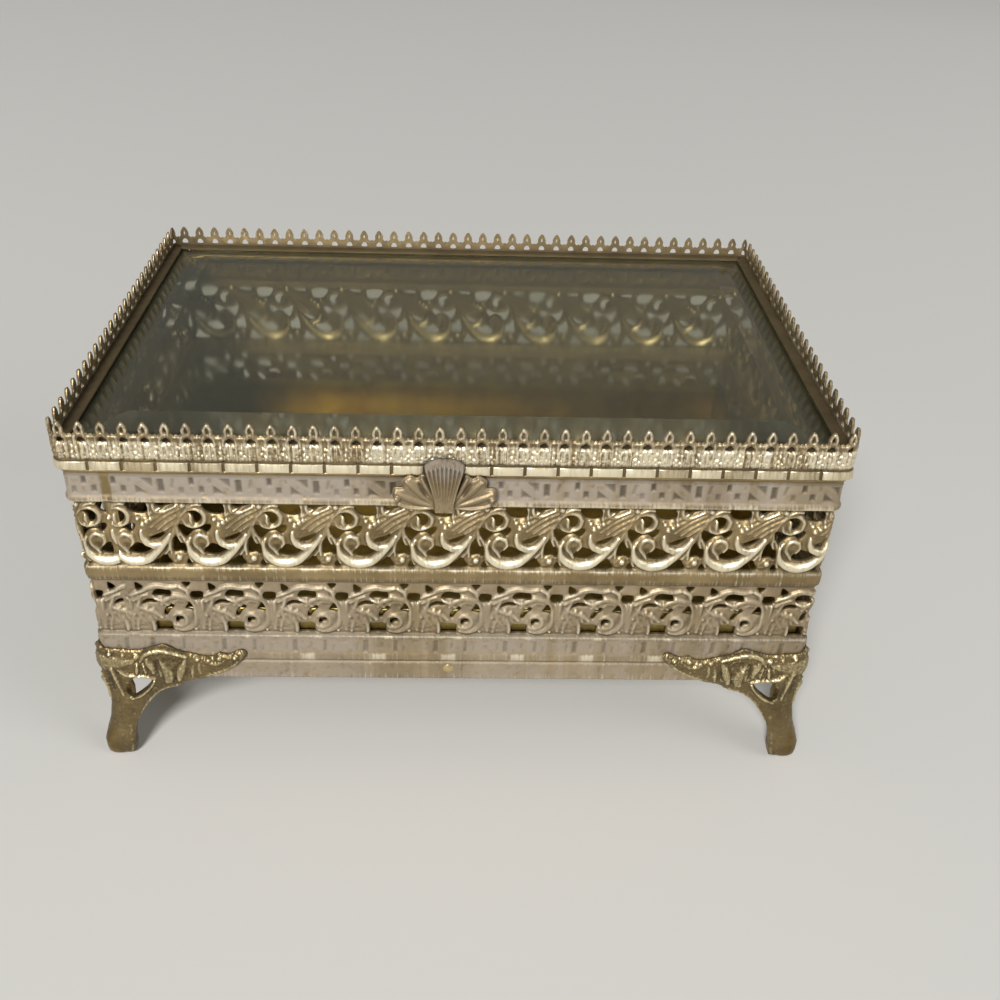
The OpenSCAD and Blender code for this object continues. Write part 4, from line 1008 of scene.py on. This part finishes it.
# ---------------------------------------------------------------- lid
# a crown of the gallery: x from its middle, z from the top of the leafy band
CROWN_OUTLINE = mirrored([[0, 5.1], [0.8, 4.2], [1.2, 3.2], [1.15, 2.4], [1.55, 2], [1.95, 1.3],
                          [1.95, -0.5]])
PEARL_OUTLINE = mirrored([[0, 2.1], [0.5, 1.7], [0.75, 0.9], [0.85, -0.4]])
CROWN_HOLES = [mirrored([[0, 1.4], [0.4, 1.3], [0.75, 0.8], [0.8, 0.1]]),
               mirrored([[0, 3.8], [0.22, 3.2], [0.16, 2.6]])]
CROWN_STRANDS = [
    mirrored([[0, 2.1, 0.45], [0.9, 1.7, 0.42], [1.35, 0.8, 0.4], [1.4, -0.4, 0.4]]),
    mirrored([[0, 4.5, 0.42], [0.4, 4, 0.42], [0.7, 3.2, 0.45], [0.6, 2.3, 0.42]]),
    [[0, -0.4, 0.4], [0.1, -2, 0.5], [0, -3.2, 0.3]],
    [[-0.7, -0.5, 0.3], [-1.2, -1.6, 0.45], [-1, -2.8, 0.3]],
    [[0.7, -0.5, 0.3], [1.2, -1.6, 0.45], [1.1, -2.8, 0.3]]]
CROWN_BEADS = [[0, 1.6, 0.4], [1.75, 1.4, 0.4], [-1.7, 1.4, 0.4], [0.2, -1, 0.5], [-0.1, -2.4, 0.5],
               [-1.4, -3.2, 0.4], [1.4, -3.2, 0.4], [-0.6, -3.1, 0.35], [0.6, -3, 0.35]]
BAND_TOP = 4.3        # height of the lace's leafy band, under its crowns
BAND_FACE = -0.75     # its plain face, behind the lid frame's outer face
LACE_STEP = 0.2
GROOVE_PITCH = 7.35   # between two grooves of the skirt
GROOVE_DEPTH = 0.4
BRIGHT_REACH = 46     # how far from a side's middle the skirt is rubbed bright, with a painted highlight


def build_lid_frame(sizes):
    track = Track(LID_W, LID_D, LID_R)
    rng = np.random.default_rng(7)
    grooves, from_middle, start = [], [], -track.sides[0] / 2
    for side in track.sides:
        count = int((side / 2 - 2) // GROOVE_PITCH)
        marks = np.arange(-count, count + 1) * GROOVE_PITCH
        grooves.append(start + side / 2 + marks)
        from_middle.append(marks + GROOVE_PITCH / 2)
        start += side + track.bend
    grooves, from_middle = np.concatenate(grooves), np.concatenate(from_middle)
    near = (grooves[:, None] + [-0.45, -0.28, -0.16, 0.16, 0.28, 0.45]).ravel()
    between = (grooves[:, None] + [GROOVE_PITCH / 3, GROOVE_PITCH / 2, GROOVE_PITCH * 2 / 3]).ravel()
    s = np.unique(np.round(np.concatenate([near, between, bends(track, 60, 8)]), 3))
    gap = np.abs(s[:, None] - grooves).min(1)
    depth = GROOVE_DEPTH * np.clip((0.36 - gap) / 0.16, 0, 1)
    # each length between two grooves leans its own way, so that it catches the light alone
    part = np.searchsorted(grooves, s) - 1
    nod = rng.normal(0, 0.05, len(grooves))[part]
    # and is rubbed bright, with a painted highlight, along the middle of a side, and only here and there
    # towards the corners
    odd = np.round(from_middle / GROOVE_PITCH - 0.5).astype(int) % 2 > 0
    polish = np.where(np.abs(from_middle) < BRIGHT_REACH, 1, np.where(odd, 0.85, 0.5))
    polish = (polish + rng.normal(0, 0.06, len(polish)))[part] * (gap > 0.3)
    z0, z1 = Z_LID, Z_LACE
    outer = [(-0.25, z0), (-0.05, z0 + 0.08), (0, z0 + 0.3), (0, z0 + 1.1), (0, z1 - 0.75), (-0.05, z1 - 0.5),
             (-0.3, z1 - 0.4), (-0.55, z1 - 0.36), (-0.6, z1)]
    inner = [(-1.15, z1), (-1.15, Z_LIP - 0.25), (-1.4, Z_LIP), (-3.6, Z_LIP), (-3.9, Z_LIP - 0.2),
             (-3.9, Z_LIP - 0.6), (-3.6, Z_LIP - 0.8), (-2, Z_LIP - 0.8), (-2, z0)]
    sections = np.repeat(np.array(outer + inner)[None], len(s), 0)
    lift = (np.array([z for _, z in outer]) - z0) / (z1 - z0) - 0.5
    # the skirt leans in a little towards its top, and so faces up
    sections[:, :len(outer), 0] += -depth[:, None] + 0.6 * nod[:, None] * lift - 0.3 * (lift + 0.5) - 0.03
    # how much of the wear, painted highlight and groove shade each row of the profile takes: its foot, the
    # skirt, and little over it
    on_skirt = np.array([0.4] + [1] * 5 + [0.3] + [0] * (len(outer) + len(inner) - 7))
    rows = np.arange(len(outer) + len(inner))
    # painted shade on the glazing lip and the top of the skirt, in the lid's own shade, and down the grooves
    in_shade = np.where(rows >= len(outer), 0.85, np.where(rows >= 6, 0.7, 0))
    painted_shade = np.maximum(in_shade, 0.8 * np.clip(depth / GROOVE_DEPTH, 0, 1)[:, None] * on_skirt)
    frame_piece = sweep("lid_frame_skirt", track, s, sections,
                        {"wear_and_highlight": polish[:, None] * on_skirt, "dirt": painted_shade})
    frame_piece.data.set_sharp_from_angle(angle=math.radians(50))
    finished(frame_piece, "lid", finish_named("gilt_stamped_brass"), "worn_gilt", "lid_frame")


def build_lace(sizes):
    """The pierced gallery round the lid: leafy band, then crowns with loops and beads."""
    track = Track(LID_W, LID_D, LID_R)
    pitch = track.length / round(track.length / sizes.crown_pitch)
    tall = Z_TIP - Z_LACE
    work = Relief(0, pitch, 0, tall, step=0.08, wraps=True, blend=0.12)
    work.height += np.interp(work.z, [0, 0.2, 0.7, 0.95, BAND_TOP, 9],
                             [-0.8, -0.55, -0.55, BAND_FACE, BAND_FACE, -0.8])
    at = (pitch / 2, BAND_TOP)
    # the crown's outline over the band: a broad foot and a pointed loop; a pearl between crowns
    crown = smooth(CROWN_OUTLINE, 2, closed=True)
    pearl = smooth(PEARL_OUTLINE, 2, closed=True)
    x, z = work.x[:, None], work.z[None, :]
    work.solid = np.broadcast_to(BAND_TOP + 0.35 - z, work.solid.shape)
    for shift in (-pitch, 0, pitch):
        for outline, along in ((crown, at[0] + shift), (pearl, shift)):
            work.solid = np.maximum(work.solid, inside_by(outline + (along, BAND_TOP), x, z))
    for outline in CROWN_HOLES:
        work.cut(smooth(outline, 3, closed=True), at)
    for line in CROWN_STRANDS:
        work.strand(line, 0.42, BAND_FACE, at)
    for x0, z0, r in CROWN_BEADS:
        work.bead(x0, z0, r, 0.35, BAND_FACE, at)
        work.bead(x0 - pitch / 2, z0 - 0.2, r, 0.35, BAND_FACE, at)
    work.finish(edge_drop=0.2, edge_width=0.3, soft_mm=0.1)
    rng = np.random.default_rng(11)
    z = np.linspace(0, tall, round(tall / LACE_STEP) + 1)

    def place(a, out, b):
        return track.place(a, out, b + Z_LACE)

    for side, (start, end) in track.spans().items():
        at_end = side in ("left", "right")      # there the crowns' backs get a painted highlight too
        s = np.linspace(start, end, round((end - start) / LACE_STEP) + 1)
        height, solid, wear_and_highlight, dirt = (work.read(grid, s - 0.45 + pitch / 2, z) for grid in
                                       (work.height, work.solid, work.wear_and_highlight, work.dirt))
        # a leafy, granular skin with upright marks, which never quite repeats
        crumbs = blur(rng.normal(0, 1, height.shape), 1, False)
        upright = rng.normal(0, 1, (len(s), 1))
        patches = 6 * blur(rng.normal(0, 1, (len(s), 1)) * np.ones(len(z)), cells=22, wraps=False)
        on_band = np.clip((BAND_TOP + 0.6 - z) / 0.6, 0, 1)
        height = np.clip(height + (0.11 * crumbs + 0.07 * upright) * (0.4 + 0.6 * on_band), -1.0, -0.02)
        wear_and_highlight = np.clip(wear_and_highlight + (0.35 * crumbs + 0.3 * upright) * (0.5 + 0.5 * on_band)
                         + (0.6 + 0.3 * patches) * on_band, 0, 1)
        # painted shade in a dark line along the lace's foot; darker on the crowns than on the band
        dirt = np.clip(0.55 * dirt - 0.5 * crumbs + 0.25 * (1 - on_band), 0, 1) + 0.5 * (z < 0.5)
        # inside, the crowns' backs are painted in shade, and given painted highlights at the ends
        thing = sheet(f"lace_{side}_work", s, z, solid, height, np.full(height.shape, -LACE_T + 0.02), place,
                      {"wear_and_highlight": wear_and_highlight, "dirt": np.clip(dirt, 0, 1), "wash": np.full(height.shape, 0.2)},
                      {"wear_and_highlight": 0.8 * wear_and_highlight * at_end, "dirt": np.full(height.shape, 0.45 - 0.3 * at_end)})
        finished(thing, "lid", finish_named("gilt_stamped_brass"), "worn_gilt", f"lace_{side}")


def build_glass(sizes):
    """A plate with a wide ground bevel, its edges taken off, and the flat strip under it."""
    low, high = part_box("glass")
    half_w, half_d, top = (c / MM for c in high)
    bottom = low[2] / MM
    edge = [(0.3, bottom), (0, bottom + 0.3), (0, bottom + 2.75), (0.25, bottom + 3.04),
            (sizes.bevel_width / MM, top)]
    rings = [[Vector((sx * (half_w - inset), sy * (half_d - inset), z)) * MM
              for sx, sy in ((-1, -1), (1, -1), (1, 1), (-1, 1))] for inset, z in edge]
    pane = ring_solid("lid_glass_pane", rings)
    finished(pane, "lid", window_glass(), "clear_glass", "glass")

    strip_track = Track(*size_of("glass_retainer")[:2], 0.6)
    z0, z1 = low_of("glass_retainer", 2), high_of("glass_retainer", 2)
    strip = sweep("glass_retainer_strip", strip_track, bends(strip_track, 8, 3),
                  [(-6, z0 + 0.2), (-5.8, z0), (-0.2, z0), (0, z0 + 0.2), (0, z1 - 0.02),
                   (-5.8, z1 - 0.02), (-6, z1 - 0.2)])
    finished(strip, "lid", finish_named("gilt_inside"), "inner_gilt", "glass_retainer")


# ---------------------------------------------------------------- shell tab
FAN_SIDE = [[0, -9], [1.4, -8.9], [2.6, -8.6], [2.3, -7.4], [2.3, -6.2], [3, -3.4], [4, -0.4], [4.5, 1.8],
            [4.2, 3.2], [3, 4], [1.5, 4.5], [0, 4.6]]
FAN_OUTLINE = FAN_SIDE + [[-x, z] for x, z in FAN_SIDE[-2:0:-1]]
SIDE_LEAF = [[1.2, -8.2], [4.4, -8.9], [8.6, -8.7], [11, -7.7], [10.8, -6.4], [11.7, -5], [11.2, -3],
             [9.4, -2.8], [9.4, -1], [7.6, 0.2], [6.2, -0.4], [4.6, 0.5], [3.4, -1.4], [2, -4.6]]
LEAF_STRANDS = [
    [[2, -7.9, 0.35], [5.4, -8.2, 0.5], [8.4, -7.9, 0.5], [10.2, -7.2, 0.4]],
    [[2, -7.6, 0.4], [5.4, -6.7, 0.7], [8.6, -5.4, 0.85], [10.8, -4.2, 0.5]],
    [[1.9, -7.4, 0.4], [4.2, -5.4, 0.7], [6.6, -3, 0.85], [8.4, -1.2, 0.5]],
    [[1.8, -7, 0.4], [3, -4.6, 0.5], [4.2, -2, 0.6], [5, -0.4, 0.4]]]
LEAF_DENTS = [
    [[3.6, -5], [4.6, -4.6], [6, -2], [5.6, -1.2], [4.6, -2.6]],
    [[5.2, -6], [7.2, -4.4], [8.6, -3.6], [7, -4.9]]]


def build_tab(sizes):
    work = Relief(-12.2, 12.2, -10.6, 5, step=0.13)
    x, z = work.x[:, None], work.z[None, :]
    fan = smooth(FAN_OUTLINE, 3, closed=True)
    work.solid = inside_by(fan, x, z)
    both_sides = [(1, 1), (-1, 1)]
    for flip in both_sides:
        leaf = smooth(SIDE_LEAF, 3, closed=True) * flip
        work.solid = np.maximum(work.solid, inside_by(leaf, x, z))
        work.dome(leaf, lift=0.5, foot=0, shoulder=1.2)
    for flip in both_sides:
        for line in LEAF_STRANDS:
            work.strand(np.array(line) * (*flip, 1), lift=0.6, foot=0.3)
        work.bead(flip[0] * 10.7, -5.6, r=0.9, lift=0.9, foot=0.4)
        for outline in LEAF_DENTS:
            work.press(smooth(outline, 3, closed=True) * flip, depth=0.5, slope=0.5)
    work.dome(fan, lift=1.1, foot=0, shoulder=1.4)
    ribs = sizes.shell_ribs
    for i in range(ribs):
        lean = (i - (ribs - 1) / 2) / (ribs - 1)
        tall = 3.9 - abs(lean) * 2.6
        rib = [[lean * 4, -8.6, 0.24], [lean * 3.8, -6.6, 0.24], [lean * 5.2, -3, 0.32],
               [lean * 6.8, 0.4, 0.42], [lean * 7.8, tall, 0.48]]
        work.strand(rib, lift=1.1, foot=1.0, fullness=0.7)
    work.finish(edge_drop=0.6, edge_width=0.5, soft_mm=0.13)
    back, reach = high_of("shell_tab", 1), size_of("shell_tab")[1]
    front = 0.35 + work.height * (reach - 0.4) / work.height.max()
    # the wash has kept best at the top of the fan
    wash = 0.35 + 0.6 * np.clip((z + 1.5 - 0.4 * np.abs(x)) / 3, 0, 1)

    def place(a, out, b):
        return np.stack([a + TAB_X, back - out, b + Z_LID], 1) * MM

    tab = sheet("shell_tab_casting", work.x, work.z, work.solid, np.maximum(front, 0.3),
                np.zeros(front.shape), place,
                {"wear_and_highlight": work.wear_and_highlight * 0.3, "dirt": np.clip(work.dirt * 0.9 + 0.16, 0, 1), "wash": wash})
    finished(tab, "lid", finish_named("gilt_stamped_brass"), "cast_gilt", "shell_tab")


# ---------------------------------------------------------------- fixings and hinges
def build_fittings(sizes):
    """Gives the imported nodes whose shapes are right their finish."""
    hinges = [f"hinge_{part}_{side}" for part in ("pin", "body", "lid") for side in ("left", "right")]
    for name in ["pan_rivets", "leg_screws"] + hinges:
        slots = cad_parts[name].data.materials
        slots.clear()
        slots.append(finish_named("plain_brass"))


# ---------------------------------------------------------------- stage
FLOOR_HALF = 3                     # metres from the middle to the floor's edges
LAMP_AIM = (0, 0, 0.05)            # the middle of the casket, in metres
EYE = (0.56, -268.52, 216.41)      # the camera's place, in millimetres
YAW, PITCH, ROLL = 0.0426, 0.5813, 0.0366
PHOTO_WIDTH = 1000                 # the photograph's width in pixels
FOCAL = 1108.83                    # the camera's focal length in the same pixels
SENSOR = 36                        # and its sensor's width in millimetres


def area_light(name, place, size, watts):
    lamp = bpy.data.lights.new(name, "AREA")
    lamp.shape, lamp.size, lamp.energy = "DISK", size, watts
    thing = placed(name, lamp)
    thing.location = place
    thing.rotation_euler = (Vector(LAMP_AIM) - Vector(place)).to_track_quat("-Z", "Y").to_euler()


def build_stage(sizes):
    scene = bpy.context.scene
    mesh = bpy.data.meshes.new("floor")
    corners = [(x * FLOOR_HALF, y * FLOOR_HALF, 0) for x, y in ((-1, -1), (1, -1), (1, 1), (-1, 1))]
    mesh.from_pydata(corners, [], [(0, 1, 2, 3)])
    floor = placed("floor", mesh)
    # matt painted board, paler away from the casket, so that it looks evenly lit
    material, tree = new_material("pale_floor")
    place = node(tree, "TexCoord").outputs["Object"]
    away = node(tree, "VectorMath", {"operation": "LENGTH"}, {0: place})
    far = node(tree, "MapRange", {"From Min": 0.25, "From Max": 1.1}, {"Value": away.outputs["Value"]})
    colour = node(tree, "Mix", {"data_type": "RGBA", 6: "#cfcdc8", 7: "#e2e0db"}, {0: far.outputs["Result"]})
    shader = node(tree, "BsdfPrincipled", {"Roughness": 0.8}, {"Base Color": colour.outputs[2]})
    node(tree, "OutputMaterial", {}, {"Surface": shader.outputs[0]})
    mesh.materials.append(material)

    world = bpy.data.worlds.new("studio")
    world.use_nodes = True
    tree = world.node_tree
    tree.nodes.clear()
    # the camera sees a paler wall beyond the floor than the one that lights the casket
    ray = node(tree, "LightPath")
    level = node(tree, "MapRange", {"To Min": 0.3, "To Max": 0.75}, {"Value": ray.outputs["Is Camera Ray"]})
    sky = node(tree, "Background", {"Color": "#dcdcda"}, {"Strength": level.outputs["Result"]})
    tree.links.new(sky.outputs[0], node(tree, "OutputWorld").inputs["Surface"])
    scene.world = world
    area_light("key", (-0.88, -2.8, 2.2), size=0.95, watts=146)
    area_light("fill", (2.1, -1.1, 1.4), size=1.7, watts=18)

    # the photograph's viewing angle, worked out from the lid's and box's corners
    ahead = Vector((math.sin(YAW) * math.cos(PITCH), math.cos(YAW) * math.cos(PITCH), -math.sin(PITCH)))
    right = Vector((math.cos(YAW), -math.sin(YAW), 0))
    up = right.cross(ahead)
    turned = (math.cos(ROLL) * right + math.sin(ROLL) * up,
              math.cos(ROLL) * up - math.sin(ROLL) * right, -ahead)
    camera = placed("camera", bpy.data.cameras.new("camera"))
    camera.matrix_world = Matrix([[*row] for row in zip(*turned)]).to_4x4()
    camera.location = Vector(EYE) * MM
    camera.data.sensor_width, camera.data.lens = SENSOR, SENSOR * FOCAL / PHOTO_WIDTH
    camera.data.clip_start = 0.01
    scene.camera = camera
    scene.view_settings.view_transform = "Standard"


# ---------------------------------------------------------------- add-on
class CasketSizes(bpy.types.PropertyGroup):
    """Sizes that a user would change"""
    mesh_step: bpy.props.FloatProperty(
        name="Relief detail", description="Grid step of the stamped walls, in millimetres",
        default=0.27, min=0.2, max=1.0)
    crown_pitch: bpy.props.FloatProperty(
        name="Crown pitch", description="Distance between two crowns on the lid's gallery, in millimetres",
        default=4.55, min=4, max=6)
    bevel_width: bpy.props.FloatProperty(
        name="Bevel width", description="Width of the glass's ground bevel",
        default=0.012, min=0.006, max=0.02, unit="LENGTH")
    shell_ribs: bpy.props.IntProperty(
        name="Shell ribs", description="Ribs of the shell on the lid's tab", default=9, min=5, max=13)


class CasketFinish(bpy.types.PropertyGroup):
    """Colours of the metal"""
    gilt: bpy.props.FloatVectorProperty(
        name="Gilt", description="Gilding in good order", subtype="COLOR", size=4,
        default=linear("#aa946a"), min=0, max=1)
    # the bright colour of wear and of painted highlights
    wear_and_highlight: bpy.props.FloatVectorProperty(
        name="Rubbed", description="Gilding rubbed pale on what stands proud", subtype="COLOR", size=4,
        default=linear("#f3e8ca"), min=0, max=1)
    wash: bpy.props.FloatVectorProperty(
        name="Wash", description="The pale wash over the embossed bands", subtype="COLOR", size=4,
        default=linear("#978c7e"), min=0, max=1)
    # also the colour of the painted shade
    patina: bpy.props.FloatVectorProperty(
        name="Patina", description="Dark brown in the hollows", subtype="COLOR", size=4,
        default=linear("#2c2312"), min=0, max=1)


class CasketOperator:
    """What the casket's operators share: they build one kind of piece and raise if they can't"""
    bl_options = {"REGISTER", "UNDO"}

    def execute(self, context):
        self.build(context.scene.casket_sizes)
        return {"FINISHED"}


class CASKET_OT_walls(CasketOperator, bpy.types.Operator):
    """Build the pierced and embossed walls"""
    bl_idname = "casket.walls"
    bl_label = "Pierced Walls"
    build = staticmethod(build_walls)


class CASKET_OT_rim_and_pan(CasketOperator, bpy.types.Operator):
    """Build the box's top rim and its base pan"""
    bl_idname = "casket.rim_and_pan"
    bl_label = "Rim and Pan"
    build = staticmethod(build_rim_and_pan)


class CASKET_OT_legs(CasketOperator, bpy.types.Operator):
    """Build the four cast corner legs"""
    bl_idname = "casket.legs"
    bl_label = "Cast Legs"
    build = staticmethod(build_legs)


class CASKET_OT_lid_frame(CasketOperator, bpy.types.Operator):
    """Build the lid's grooved skirt and glazing lip"""
    bl_idname = "casket.lid_frame"
    bl_label = "Lid Frame"
    build = staticmethod(build_lid_frame)


class CASKET_OT_lace(CasketOperator, bpy.types.Operator):
    """Build the gallery of crowns round the lid"""
    bl_idname = "casket.lace"
    bl_label = "Crown Gallery"
    build = staticmethod(build_lace)


class CASKET_OT_glass(CasketOperator, bpy.types.Operator):
    """Build the bevelled glass and the strip that holds it"""
    bl_idname = "casket.glass"
    bl_label = "Bevelled Glass"
    build = staticmethod(build_glass)


class CASKET_OT_tab(CasketOperator, bpy.types.Operator):
    """Build the shell tab that lifts the lid"""
    bl_idname = "casket.tab"
    bl_label = "Shell Tab"
    build = staticmethod(build_tab)


class CASKET_OT_fittings(CasketOperator, bpy.types.Operator):
    """Finish the hinges, pins, rivets and screws"""
    bl_idname = "casket.fittings"
    bl_label = "Hinges and Fixings"
    build = staticmethod(build_fittings)


class CASKET_OT_stage(CasketOperator, bpy.types.Operator):
    """Build the floor, the lights and the camera"""
    bl_idname = "casket.stage"
    bl_label = "Stage"
    build = staticmethod(build_stage)


STEPS = (CASKET_OT_walls, CASKET_OT_rim_and_pan, CASKET_OT_legs, CASKET_OT_lid_frame, CASKET_OT_lace,
         CASKET_OT_glass, CASKET_OT_tab, CASKET_OT_fittings, CASKET_OT_stage)


class CASKET_PT_panel(bpy.types.Panel):
    """Sizes, colours and building steps of the casket"""
    bl_idname = "CASKET_PT_panel"
    bl_label = "Casket"
    bl_space_type = "VIEW_3D"
    bl_region_type = "UI"
    bl_category = "Casket"

    def draw(self, context):
        for group in (context.scene.casket_sizes, context.scene.casket_finish):
            for key in group.__annotations__:
                self.layout.prop(group, key)
        for step in STEPS:
            self.layout.operator(step.bl_idname)


CLASSES = (CasketSizes, CasketFinish, *STEPS, CASKET_PT_panel)


def register():
    for cls in CLASSES:
        bpy.utils.register_class(cls)
    bpy.types.Scene.casket_sizes = bpy.props.PointerProperty(type=CasketSizes)
    bpy.types.Scene.casket_finish = bpy.props.PointerProperty(type=CasketFinish)


def unregister():
    del bpy.types.Scene.casket_sizes, bpy.types.Scene.casket_finish
    for cls in reversed(CLASSES):
        bpy.utils.unregister_class(cls)


def main():
    register()
    for step in STEPS:
        group, call = step.bl_idname.split(".")
        getattr(getattr(bpy.ops, group), call)()


if __name__ == "__main__":
    main()
